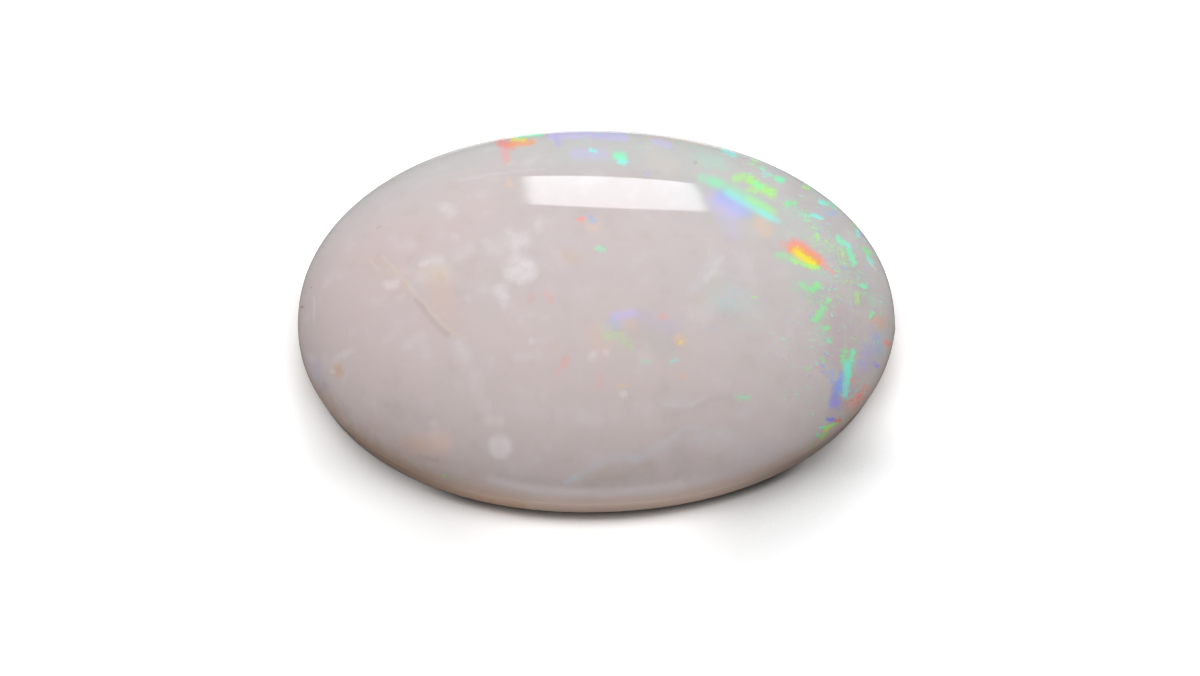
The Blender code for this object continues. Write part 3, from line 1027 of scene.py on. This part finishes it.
@dataclass
class PolishedOpal:
    """The polished dome and side.

    Attributes:
        stroke: the group that draws a stroke.
        dot: the group that draws a dot.
        dot_share: a stroke shorter than this share of its width is drawn as a dot.
        wavy: how unevenly the edges of fine lines run.
        fluffy: how unevenly the edges of clouds run.
        uneven: how unevenly the edges of flashes run, before the grains break them up.
        grains: the stone's fine grains.
        showing: a grain's random values where flecks begin to show and show fully.
        cloud_scale: lumps to the millimetre of the noise that thins the clouds.
        cloudy: its values where a cloud is thin and where it is full.
        cloud_thin: how much of a cloud shows where it is thin.
        cloud_gain: how much more of it shows where it is full.
        seen: how far the surface faces the camera where marks begin and where they are full.
        brown_and_shade_band: the heights where the brown of the thin edge begins and is full, in millimetres;
            it is partly the stone's own brown and partly painted shade where the side mirrors the dark floor.
        brown_and_shade_strength: how much of that brown shows.
        roughness: of the polish.
        ior: how strongly the stone bends light.
        glow: how much light travels on inside it.
        glow_spread: how far each colour of that light travels, as a share of the depth.
        glow_depth: how far it travels, in metres.
    """

    stroke: bpy.types.NodeTree = field(default_factory=stroke_group)
    dot: bpy.types.NodeTree = field(default_factory=dot_group)
    dot_share: float = 0.8
    wavy: Ripple = Ripple(2.5, 0.16)
    fluffy: Ripple = Ripple(3.0, 0.36)
    uneven: Ripple = Ripple(5.5, 0.24)
    grains: Ripple = Ripple(9.0, 0.08)
    showing: Range = (0.30, 0.95)
    cloud_scale: float = 2.4
    cloudy: Range = (0.34, 0.60)
    cloud_thin: float = 0.60
    cloud_gain: float = 0.45
    seen: Range = (-0.25, -0.05)
    brown_and_shade_band: Range = (2.2, 1.0)
    brown_and_shade_strength: float = 0.85
    roughness: float = 0.045
    ior: float = 1.45
    glow: float = 0.55
    glow_spread: Colour = (1.0, 0.8, 0.7)
    glow_depth: float = 0.0012

    def mask(self, wiring: Wiring, mark: Mark, points: list[Vector], place: object,
             pixel: float) -> bpy.types.NodeSocket:
        """Draw one mark's shape.

        Args:
            wiring: the material's wiring.
            mark: what to draw.
            points: its points, laid flat, in millimetres.
            place: where a point is drawn.
            pixel: a pixel's size, in millimetres.

        Returns:
            The mask's socket, 1 on the mark and 0 off it.
        """
        inner = mark.width * (1.0 - mark.softness) * pixel
        outer = mark.width * (1.0 + mark.softness) * pixel
        mask = None
        for start, end in zip(points, points[1:]):
            span = end - start
            if span.length < self.dot_share * mark.width * pixel:
                middle = start + 0.5 * span
                drawn = wiring.group(self.dot, Place=place, Middle=middle, Inner=inner, Outer=outer)
            else:
                drawn = wiring.group(self.stroke, Place=place, Start=start, Span=span,
                                     Share=span / span.length_squared, Inner=inner, Outer=outer)
            shape = drawn.outputs["Mask"]
            mask = shape if mask is None else wiring.math("MAXIMUM", mask, shape)
        return mask

    def draw(self, wiring: Wiring, colour: object, layer: Layer, ground: Ground, view: PhotoView,
             surface: BVHTree) -> bpy.types.NodeSocket:
        """Draw a layer of marks over a colour.

        Args:
            wiring: the material's wiring.
            colour: what is under the marks.
            layer: what to draw.
            ground: where it is drawn.
            view: how pixels meet the stone.
            surface: the stone's surface.

        Returns:
            The colour with the marks on it.
        """
        for mark in layer.marks:
            LOG.debug("%s: %s", layer.name, mark.name)
            points = [view.on_stone(surface, at) for at in mark.path]
            mask = self.mask(wiring, mark, points, ground.place, view.pixel_size * PER_MM)
            shown = wiring.math("MULTIPLY", mask, mark.strength)
            if ground.density is not None:
                shown = wiring.math("MULTIPLY", shown, ground.density)
            colour = wiring.blend(shown, colour, mark.colour.value)
        return colour

    def grounds(self, wiring: Wiring, flat: object, point: object) -> dict[Edge, Ground]:
        """Work out where marks are drawn, for each kind of edge.

        Args:
            wiring: the material's wiring.
            flat: the point on the flat picture of the stone.
            point: the point in the stone.

        Returns:
            The ground of each kind of edge.
        """
        waver = waver_group()
        places = [wiring.group(waver, Place=flat, Point=point, Scale=ripple.scale, Amount=ripple.amount)
                  for ripple in (self.wavy, self.fluffy, self.uneven)]
        wavy, fluffy, uneven = (place.outputs["Place"] for place in places)
        grains = wiring.group(grain_group(), Place=uneven, Point=point, Scale=self.grains.scale,
                              Amount=self.grains.amount)
        cloud = wiring.noise(point, self.cloud_scale, FINE_DETAIL)
        full = wiring.ease(cloud.outputs["Fac"], *self.cloudy)
        cloudy = wiring.math("MULTIPLY_ADD", full, self.cloud_gain, self.cloud_thin)
        few = wiring.ease(grains.outputs["Value"], *self.showing)
        return {
            Edge.SMOOTH: Ground(flat),
            Edge.WAVY: Ground(wavy),
            Edge.FLUFFY: Ground(fluffy, cloudy),
            Edge.GRAINY: Ground(grains.outputs["Place"]),
            Edge.SPECKLED: Ground(grains.outputs["Place"], few),
        }

    def material(self, view: PhotoView, surface: BVHTree) -> bpy.types.Material:
        """Make the material.

        Args:
            view: how pixels meet the stone.
            surface: the stone's surface.

        Returns:
            The material.
        """
        made = bpy.data.materials.new("polished_opal")
        made.use_nodes = True
        wiring = Wiring(made.node_tree)
        shader = made.node_tree.nodes["Principled BSDF"]
        coordinates = wiring.node("ShaderNodeTexCoord")
        point = wiring.vector("SCALE", coordinates.outputs["Object"], scale=PER_MM)
        flat = wiring.node("ShaderNodeCombineXYZ")
        wiring.feed(flat.inputs["X"], wiring.vector("DOT_PRODUCT", point, view.right))
        wiring.feed(flat.inputs["Y"], wiring.vector("DOT_PRODUCT", point, view.up))
        grounds = self.grounds(wiring, flat.outputs["Vector"], point)
        body = wiring.group(MilkyBody().group(), Point=point).outputs["Color"]
        colour = body
        for layer in LAYERS:
            colour = self.draw(wiring, colour, layer, grounds[layer.edge], view, surface)
            LOG.info("%s: %d marks", layer.name, len(layer.marks))
        facing = wiring.vector("DOT_PRODUCT", coordinates.outputs["Normal"], view.back)
        colour = wiring.blend(wiring.ease(facing, *self.seen), body, colour)
        fire = wiring.group(PinFire().group(), Point=point)
        colour = wiring.blend(fire.outputs["Mask"], colour, fire.outputs["Color"])
        # Brown towards the flat back: partly the side's own brown, partly painted shade of the dark floor
        # mirrored there
        lower = wiring.ease(wiring.axes(point)["Z"], *self.brown_and_shade_band)
        colour = wiring.blend(wiring.math("MULTIPLY", lower, self.brown_and_shade_strength), colour, Tone.UMBER.value)
        # Painted shade: the warm dark line along the lower left rim goes over everything else
        rim_shaded = self.draw(wiring, colour, RIM_SHADE_LAYER, grounds[RIM_SHADE_LAYER.edge], view, surface)
        colour = wiring.blend(wiring.ease(facing, *self.seen), colour, rim_shaded)
        wiring.feed(shader.inputs["Base Color"], colour)
        shader.inputs["Roughness"].default_value = self.roughness
        shader.inputs["IOR"].default_value = self.ior
        shader.inputs["Subsurface Weight"].default_value = self.glow
        shader.inputs["Subsurface Radius"].default_value = self.glow_spread
        shader.inputs["Subsurface Scale"].default_value = self.glow_depth
        return made


@dataclass(frozen=True)
class GroundBack:
    """The finely ground flat back.

    Attributes:
        roughness: of its surface.
        patch_scale: lumps to the millimetre of its patches.
        patch_detail: how many finer noises are on them.
        patchy: the noise values where a patch begins and is full.
    """

    roughness: float = 0.38
    patch_scale: float = 0.45
    patch_detail: float = 5.0
    patchy: Range = (0.35, 0.65)

    def material(self) -> bpy.types.Material:
        """Make the material.

        Returns:
            The material.
        """
        made = bpy.data.materials.new("ground_back")
        made.use_nodes = True
        wiring = Wiring(made.node_tree)
        shader = made.node_tree.nodes["Principled BSDF"]
        coordinates = wiring.node("ShaderNodeTexCoord")
        point = wiring.vector("SCALE", coordinates.outputs["Object"], scale=PER_MM)
        patches = wiring.noise(point, self.patch_scale, self.patch_detail)
        shown = wiring.ease(patches.outputs["Fac"], *self.patchy)
        wiring.feed(shader.inputs["Base Color"], wiring.blend(shown, Tone.UMBER.value, Tone.FAWN.value))
        shader.inputs["Roughness"].default_value = self.roughness
        return made


@dataclass(frozen=True)
class Stone:
    """The whole stone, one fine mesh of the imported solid's own form.

    Attributes:
        girdle_height: the widest line's height above the flat back, in metres.
        dome_height: the dome's height above the widest line.
        back_inset: how far the side draws in between the widest line and the back.
        girdle_rounding: how far the soft edge at the widest line reaches.
        back_bevel: the width of the bevel round the back.
        back_margin: the width of the ring of faces inside that bevel.
        length: the stone's length.
        width: its width.
        fullness: how square the oval is, where 2 is a true ellipse.
        lean: how much fuller it is towards +X+Y and -X-Y, as a part of the local radius.
        taper: how much more pointed it is towards +X, likewise.
        shoulder: how much fuller it is on both quarters towards +Y, likewise.
        point_size: the slight point at the +X end, likewise.
        point_angle: its direction.
        point_spread: the angle that it fades over.
        sides: faces round the stone.
        rings: faces from the widest line to the top.
        side_cuts: faces on each of the side's three stretches.
        cut_tolerance: how exactly the unit sphere is cut in half.
        flat_tolerance: how flat the back's faces are, in metres.
    """

    girdle_height: float = 0.0013
    dome_height: float = 0.0056
    back_inset: float = 0.0004
    girdle_rounding: float = 0.00020
    back_bevel: float = 0.00012
    back_margin: float = 0.0002
    length: float = 0.0250
    width: float = 0.0180
    fullness: float = 2.075
    lean: float = 0.003
    taper: float = 0.005
    shoulder: float = 0.002
    point_size: float = 0.005
    point_angle: float = math.radians(-2.5)
    point_spread: float = math.radians(5.0)
    sides: int = 288
    rings: int = 72
    side_cuts: int = 4
    cut_tolerance: float = 1e-5
    flat_tolerance: float = 1e-7

    def rim(self, angle: float) -> Vector:
        """Find the widest line in one direction.

        Args:
            angle: round the stone, from +X.

        Returns:
            The point on the widest line, in plan.
        """
        across, along = math.sin(angle), math.cos(angle)
        oval = (abs(along) ** self.fullness + abs(across) ** self.fullness) ** (-1.0 / self.fullness)
        triple = 3.0 * angle
        cut = 1.0 + self.lean * math.sin(2.0 * angle)
        cut += self.taper * math.cos(triple) + self.shoulder * math.sin(triple)
        off = math.remainder(angle - self.point_angle, math.tau)
        radius = oval * cut * (1.0 + self.point_size * math.exp(-abs(off) / self.point_spread))
        return Vector((0.5 * self.length * radius * along, 0.5 * self.width * radius * across, 0.0))

    def side_steps(self) -> list[tuple[float, float]]:
        """Work out the side's profile from the widest line down to the flat back.

        Returns:
            The height and the distance drawn in at each step down.
        """
        rounding, bevel = self.girdle_rounding, self.back_bevel
        slope = self.back_inset / self.girdle_height
        shares = [cut / self.side_cuts for cut in range(1, self.side_cuts + 1)]
        steps = [(self.girdle_height - rounding * share, slope * rounding * share * share * 0.5)
                 for share in shares]
        for share in shares:
            height = self.girdle_height - rounding - (self.girdle_height - rounding - bevel) * share
            steps.append((height, slope * (self.girdle_height - height) - 0.5 * slope * rounding))
        inset = steps[-1][1]
        for share in shares:
            turn = 0.5 * math.pi * share
            steps.append((bevel * (1.0 - math.sin(turn)), inset + bevel * (1.0 - math.cos(turn))))
        return steps

    def build(self) -> bpy.types.Object:
        """Model the stone.

        Returns:
            The stone's object.
        """
        mesh = bmesh.new()
        bmesh.ops.create_uvsphere(mesh, u_segments=self.sides, v_segments=2 * self.rings, radius=1.0)
        everything = mesh.verts[:] + mesh.edges[:] + mesh.faces[:]
        bmesh.ops.bisect_plane(mesh, geom=everything, dist=self.cut_tolerance, plane_co=(0, 0, 0),
                               plane_no=(0, 0, 1), clear_inner=True)
        for vert in mesh.verts:
            spread = math.hypot(vert.co.x, vert.co.y)
            rim = self.rim(math.atan2(vert.co.y, vert.co.x))
            vert.co = (spread * rim.x, spread * rim.y, self.girdle_height + self.dome_height * vert.co.z)
        drawn_in = 0.0
        for height, inset in self.side_steps():
            open_edges = [edge for edge in mesh.edges if edge.is_boundary]
            drawn = bmesh.ops.extrude_edge_only(mesh, edges=open_edges)["geom"]
            for vert in (item for item in drawn if isinstance(item, bmesh.types.BMVert)):
                outward = Vector((vert.co.x, vert.co.y, 0.0)).normalized()
                vert.co -= (inset - drawn_in) * outward
                vert.co.z = height
            drawn_in = inset
        open_edges = [edge for edge in mesh.edges if edge.is_boundary]
        cap = bmesh.ops.contextual_create(mesh, geom=open_edges)["faces"]
        bmesh.ops.inset_region(mesh, faces=cap, thickness=self.back_margin, use_even_offset=True)
        bmesh.ops.recalc_face_normals(mesh, faces=mesh.faces[:])
        for face in mesh.faces:
            face.material_index = int(max(vert.co.z for vert in face.verts) < self.flat_tolerance)
        self.fit(mesh, *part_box("opal"))
        data = bpy.data.meshes.new("opal_stone")
        mesh.to_mesh(data)
        mesh.free()
        data.shade_smooth()
        stone = bpy.data.objects.new("opal_stone", data)
        bpy.context.scene.collection.objects.link(stone)
        return stone

    def fit(self, mesh: bmesh.types.BMesh, low: Vector, high: Vector) -> None:
        """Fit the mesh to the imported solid's box.

        Args:
            mesh: the stone's mesh.
            low: the box's lowest corner.
            high: its highest corner.
        """
        for axis in range(3):
            reach = [vert.co[axis] for vert in mesh.verts]
            start, end = min(reach), max(reach)
            factor = (high[axis] - low[axis]) / (end - start)
            for vert in mesh.verts:
                vert.co[axis] = low[axis] + (vert.co[axis] - start) * factor

    def surface(self, stone: bpy.types.Object) -> BVHTree:
        """Make a searchable copy of the stone's surface."""
        return BVHTree.FromObject(stone, bpy.context.evaluated_depsgraph_get())

    def dress(self, stone: bpy.types.Object, view: PhotoView) -> None:
        """Finish the stone.

        Args:
            stone: the stone's object.
            view: how pixels meet the stone.
        """
        stone.data.materials.append(PolishedOpal().material(view, self.surface(stone)))
        stone.data.materials.append(GroundBack().material())


def direction(azimuth: float, elevation: float) -> Vector:
    """Find the way from the stone to something in the studio.

    Args:
        azimuth: its direction, from +Y towards +X.
        elevation: its angle above the floor.

    Returns:
        The direction, of length one.
    """
    flat = math.cos(elevation)
    return Vector((math.sin(azimuth) * flat, math.cos(azimuth) * flat, math.sin(elevation)))


def link_stage(name: str, mesh: bmesh.types.BMesh, paint: bpy.types.Material) -> bpy.types.Object:
    """Put a finished mesh in the scene as a part of the studio.

    Args:
        name: the object's name.
        mesh: its shape.
        paint: its material.

    Returns:
        The object.
    """
    data = bpy.data.meshes.new(name)
    mesh.to_mesh(data)
    mesh.free()
    data.materials.append(paint)
    made = bpy.data.objects.new(name, data)
    bpy.context.scene.collection.objects.link(made)
    return made


def bare_material(name: str) -> tuple[bpy.types.Material, Wiring]:
    """Start a material without a shader.

    Args:
        name: the material's name.

    Returns:
        The material and its wiring.
    """
    paint = bpy.data.materials.new(name)
    paint.use_nodes = True
    paint.node_tree.nodes.remove(paint.node_tree.nodes["Principled BSDF"])
    return paint, Wiring(paint.node_tree)


@dataclass(frozen=True)
class Floor:
    """The white floor, with the stone's shadow painted on it. Its painted shade is measured in millimetres
    from the stone's middle.

    Attributes:
        size: its length and width, in metres.
        gap: how far it lies under the stone, in metres.
        white: how much light it sends to the camera.
        dark: how much it sends from under the stone's edge.
        contact_reach: how far from the stone the dark line of contact reaches, in metres.
        contact_open: how open the floor is where that line begins and where it is full.
        contact_strength: how dark the line is.
        contact_centre: where its middle lies, along X.
        contact_ends: how far from there it begins to fade and has faded.
        contact_fade: how much of its darkness it loses there.
        shade_reach: how far the soft shade at both ends of that line reaches, in metres.
        shade_open: how open the floor is where the shade begins and where it is full.
        shade_aside: how far from the middle, along X, it begins and is full.
        shade_strength: how dark it is.
        shade_lean: how much darker it gets with each millimetre towards +X.
        front: where both kinds of shade begin and are full, along Y.
        shade_end: how far from the stone's middle there is any shade.
        near: how much light the floor sends back to the stone from close by.
        far: how much it sends back from further off.
        near_reach: how far the bright part of it reaches, as a half ellipse.
        near_edge: where that ellipse begins to fade and has faded, as a share of its reach.
        near_fade: where it fades on both sides, along X.
        looks: how many ways are looked along to find how open the floor is.
    """

    size: float = 2.0
    gap: float = 0.00001
    white: float = 1.22
    dark: float = 0.05
    contact_reach: float = 0.0006
    contact_open: Range = (0.82, 0.50)
    contact_strength: float = 0.94
    contact_centre: float = 1.0
    contact_ends: Range = (6.0, 9.5)
    contact_fade: float = 0.80
    shade_reach: float = 0.006
    shade_open: Range = (0.96, 0.62)
    shade_aside: Range = (2.0, 7.0)
    shade_strength: float = 0.42
    shade_lean: float = 0.016
    front: Range = (-3.4, -6.6)
    shade_end: float = 19.0
    near: float = 1.06
    far: float = 0.36
    near_reach: Range = (17.0, 13.6)
    near_edge: Range = (0.98, 1.04)
    near_fade: Range = (3.5, 9.0)
    looks: int = 4

    def nook(self, wiring: Wiring, reach: float) -> bpy.types.NodeSocket:
        """Measure how open the floor is around each point.

        Args:
            wiring: the floor's node tree.
            reach: how far round the point is looked at, in metres.

        Returns:
            A value of 1 in the open and less beside the stone.
        """
        made = wiring.node("ShaderNodeAmbientOcclusion", samples=self.looks)
        made.inputs["Distance"].default_value = reach
        return made.outputs["AO"]

    def paint(self) -> bpy.types.Material:
        """Make the white paint, with the stone's shadow painted into what the camera sees; it sends less
        light back to the stone than to the camera.

        Returns:
            The material.
        """
        paint, wiring = bare_material("white_floor_with_painted_shadow")
        rays = wiring.node("ShaderNodeLightPath")
        white = wiring.node("ShaderNodeBsdfDiffuse")
        point = wiring.vector("SCALE", wiring.node("ShaderNodeTexCoord").outputs["Object"], scale=PER_MM)
        reach = wiring.vector("DIVIDE", point, (*self.near_reach, 1.0))
        axes = wiring.axes(point)
        aside = wiring.ease(wiring.math("ABSOLUTE", axes["X"]), *self.shade_aside)
        shifted = wiring.math("ABSOLUTE", wiring.math("SUBTRACT", axes["X"], self.contact_centre))
        ends = wiring.ease(shifted, *self.contact_ends)
        # Painted shadow: the floor that the camera sees darkens where it is closed in beside the stone's
        # front
        contact = wiring.ease(self.nook(wiring, self.contact_reach), *self.contact_open)
        left = wiring.math("MULTIPLY_ADD", ends, -self.contact_fade, self.contact_strength)
        contact = wiring.math("MULTIPLY", contact, left)
        soft = wiring.ease(self.nook(wiring, self.shade_reach), *self.shade_open)
        lean = wiring.math("MULTIPLY_ADD", axes["X"], self.shade_lean, self.shade_strength)
        soft = wiring.math("MULTIPLY", soft, wiring.math("MULTIPLY", aside, lean))
        shade = wiring.math("MAXIMUM", contact, soft)
        shade = wiring.math("MULTIPLY", shade, wiring.ease(axes["Y"], *self.front))
        wiring.feed(white.inputs["Color"], wiring.blend(shade, (self.white,) * 3, (self.dark,) * 3))
        # Where there is no shade, plain white saves the time of looking for it
        plain = wiring.node("ShaderNodeBsdfDiffuse")
        wiring.feed(plain.inputs["Color"], (self.white, self.white, self.white, 1.0))
        before = wiring.math("LESS_THAN", axes["Y"], self.front[0])
        close = wiring.math("LESS_THAN", wiring.vector("LENGTH", point), self.shade_end)
        shown = wiring.node("ShaderNodeMixShader")
        wiring.feed(shown.inputs["Fac"], wiring.math("MULTIPLY", before, close))
        wiring.feed(shown.inputs[1], plain.outputs["BSDF"])
        wiring.feed(shown.inputs[2], white.outputs["BSDF"])
        beside = wiring.ease(wiring.math("ABSOLUTE", axes["X"]), *self.near_fade)
        away = wiring.ease(wiring.vector("LENGTH", reach), *self.near_edge)
        far = wiring.math("MAXIMUM", beside, away)
        bounce = wiring.node("ShaderNodeBsdfDiffuse")
        wiring.feed(bounce.inputs["Color"], wiring.blend(far, (self.near,) * 3, (self.far,) * 3))
        either = wiring.node("ShaderNodeMixShader")
        wiring.feed(either.inputs["Fac"], rays.outputs["Is Camera Ray"])
        wiring.feed(either.inputs[1], bounce.outputs["BSDF"])
        wiring.feed(either.inputs[2], shown.outputs["Shader"])
        wiring.feed(paint.node_tree.nodes["Material Output"].inputs["Surface"], either.outputs["Shader"])
        return paint

    def build(self) -> bpy.types.Object:
        """Lay the floor that the stone lies on.

        Returns:
            The floor.
        """
        mesh = bmesh.new()
        bmesh.ops.create_grid(mesh, x_segments=1, y_segments=1, size=0.5 * self.size)
        bmesh.ops.translate(mesh, verts=mesh.verts[:], vec=(0.0, 0.0, -self.gap))
        return link_stage("studio_floor", mesh, self.paint())


@dataclass(frozen=True)
class Softbox:
    """The softbox that the polish mirrors. Places on its face are shares of its distance.

    Attributes:
        distance: from the stone, in metres.
        azimuth: its direction, from +Y towards +X.
        elevation: its angle above the floor.
        half_size: half the length and width of its face.
        left: where its bright bar begins.
        right: where the bar ends.
        right_slant: how much the bar's right end leans.
        low: the bar's lower edge.
        high: its upper edge.
        bow: how much both edges bend.
        blur: how far both edges fade.
        left_fade: how far from the left end the bar begins and is full.
        right_fade: the same for its right end.
        row_scale: rows to each unit of height in the brushed left end.
        row_detail: how many finer rows are on them.
        row_reach: how far the rows reach out.
        radiance: how bright it is.
        colour: of its light.
    """

    distance: float = 0.30
    azimuth: float = math.radians(3.0)
    elevation: float = math.radians(29.4)
    half_size: float = 0.27
    left: float = -0.226
    right: float = 0.227
    right_slant: float = 0.283
    low: float = -0.117
    high: float = 0.181
    bow: float = 1.2
    blur: float = 0.004
    left_fade: Range = (-0.03, 0.022)
    right_fade: Range = (0.008, -0.045)
    row_scale: float = 34.0
    row_detail: float = 3.0
    row_reach: float = 0.06
    radiance: float = 6.9
    colour: Colour = (0.965, 0.955, 1.0)

    def glow(self) -> bpy.types.Material:
        """Make the face, bright between bowed edges and fading at both ends.

        Returns:
            The material.
        """
        glow, wiring = bare_material("softbox_face")
        across, up, _ = self.axes()
        point = wiring.node("ShaderNodeTexCoord").outputs["Object"]
        x = wiring.math("DIVIDE", wiring.vector("DOT_PRODUCT", point, across), self.distance)
        y = wiring.math("DIVIDE", wiring.vector("DOT_PRODUCT", point, up), self.distance)
        bow = wiring.math("MULTIPLY", wiring.math("MULTIPLY", x, x), self.bow)
        raised = wiring.math("ADD", y, bow)
        slant = wiring.math("MULTIPLY_ADD", y, -self.right_slant, x)
        mask = wiring.ease(raised, self.low - self.blur, self.low + self.blur)
        top = wiring.ease(raised, self.high + self.blur, self.high - self.blur)
        mask = wiring.math("MULTIPLY", mask, top)
        right = wiring.ease(slant, *(self.right + fade for fade in self.right_fade))
        mask = wiring.math("MULTIPLY", mask, right)
        height = wiring.vector("SCALE", (0.0, 0.0, 1.0), scale=y)
        rows = wiring.noise(height, self.row_scale, self.row_detail)
        start = wiring.math("MULTIPLY_ADD", rows.outputs["Fac"], -self.row_reach, x)
        left = wiring.ease(start, *(self.left + fade for fade in self.left_fade))
        mask = wiring.math("MULTIPLY", mask, left)
        face = wiring.node("ShaderNodeEmission")
        face.inputs["Color"].default_value = (*self.colour, 1.0)
        wiring.feed(face.inputs["Strength"], wiring.math("MULTIPLY", mask, self.radiance))
        wiring.feed(glow.node_tree.nodes["Material Output"].inputs["Surface"], face.outputs["Emission"])
        return glow

    def axes(self) -> tuple[Vector, Vector, Vector]:
        """Find the way the softbox faces.

        Returns:
            The directions across and up its face and towards it from the stone.
        """
        toward = direction(self.azimuth, self.elevation)
        across = Vector((math.cos(self.azimuth), -math.sin(self.azimuth), 0.0))
        return across, across.cross(toward), toward

    def build(self) -> bpy.types.Object:
        """Hang the softbox.

        Returns:
            The softbox, which the camera doesn't see.
        """
        across, up, toward = self.axes()
        mesh = bmesh.new()
        bmesh.ops.create_grid(mesh, x_segments=1, y_segments=1, size=self.half_size * self.distance)
        for vert in mesh.verts:
            vert.co = toward * self.distance + across * vert.co.x + up * vert.co.y
        box = link_stage("softbox", mesh, self.glow())
        box.visible_camera = False
        return box


@dataclass(frozen=True)
class Overhead:
    """The wide soft light over the stone, which the polish doesn't mirror.

    Attributes:
        azimuth: its direction, from +Y towards +X.
        elevation: its angle above the floor.
        distance: from the stone, in metres.
        width: its width, in metres.
        height: its height, in metres.
        radiance: how bright its face is.
    """

    azimuth: float = 0.0
    elevation: float = math.radians(84.0)
    distance: float = 0.50
    width: float = 1.50
    height: float = 0.20
    radiance: float = 3.34

    def build(self) -> bpy.types.Object:
        """Hang the light.

        Returns:
            The light.
        """
        way = direction(self.azimuth, self.elevation)
        data = bpy.data.lights.new("overhead", "AREA")
        data.shape = "RECTANGLE"
        data.size = self.width
        data.size_y = self.height
        data.energy = self.radiance * math.pi * self.width * self.height
        light = bpy.data.objects.new("overhead", data)
        light.location = way * self.distance
        light.rotation_mode = "QUATERNION"
        light.rotation_quaternion = way.to_track_quat("Z", "Y")
        light.visible_glossy = False
        light.visible_camera = False
        bpy.context.scene.collection.objects.link(light)
        return light


@dataclass(frozen=True)
class Air:
    """The even surroundings and the way that the picture is shown.

    Attributes:
        colour: of the surroundings.
        strength: how bright they are.
    """

    colour: Colour = (1.0, 1.0, 1.0)
    strength: float = 0.35

    def build(self) -> None:
        """Set the surroundings and the view."""
        world = bpy.data.worlds.new("studio_air")
        world.use_nodes = True
        air = world.node_tree.nodes["Background"]
        air.inputs["Color"].default_value = (*self.colour, 1.0)
        air.inputs["Strength"].default_value = self.strength
        bpy.context.scene.world = world
        settings = bpy.context.scene.view_settings
        settings.view_transform = "Standard"
        settings.look = "None"


def main() -> None:
    """Build the camera, the stone and the studio."""
    logging.basicConfig(level=logging.INFO, format="%(message)s")
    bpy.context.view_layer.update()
    view = PhotoView()
    view.make_camera()
    LOG.info("camera: %.1f degrees above the floor", math.degrees(view.elevation))
    form = Stone()
    stone = form.build()
    form.dress(stone, view)
    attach(stone, "root")
    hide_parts("opal")
    LOG.info("%s: %d faces", stone.name, len(stone.data.polygons))
    floor = Floor().build()
    box = Softbox().build()
    Air().build()
    overhead = Overhead().build()
    LOG.info("%s, %s and %s light", floor.name, box.name, overhead.name)


if __name__ == "__main__":
    main()
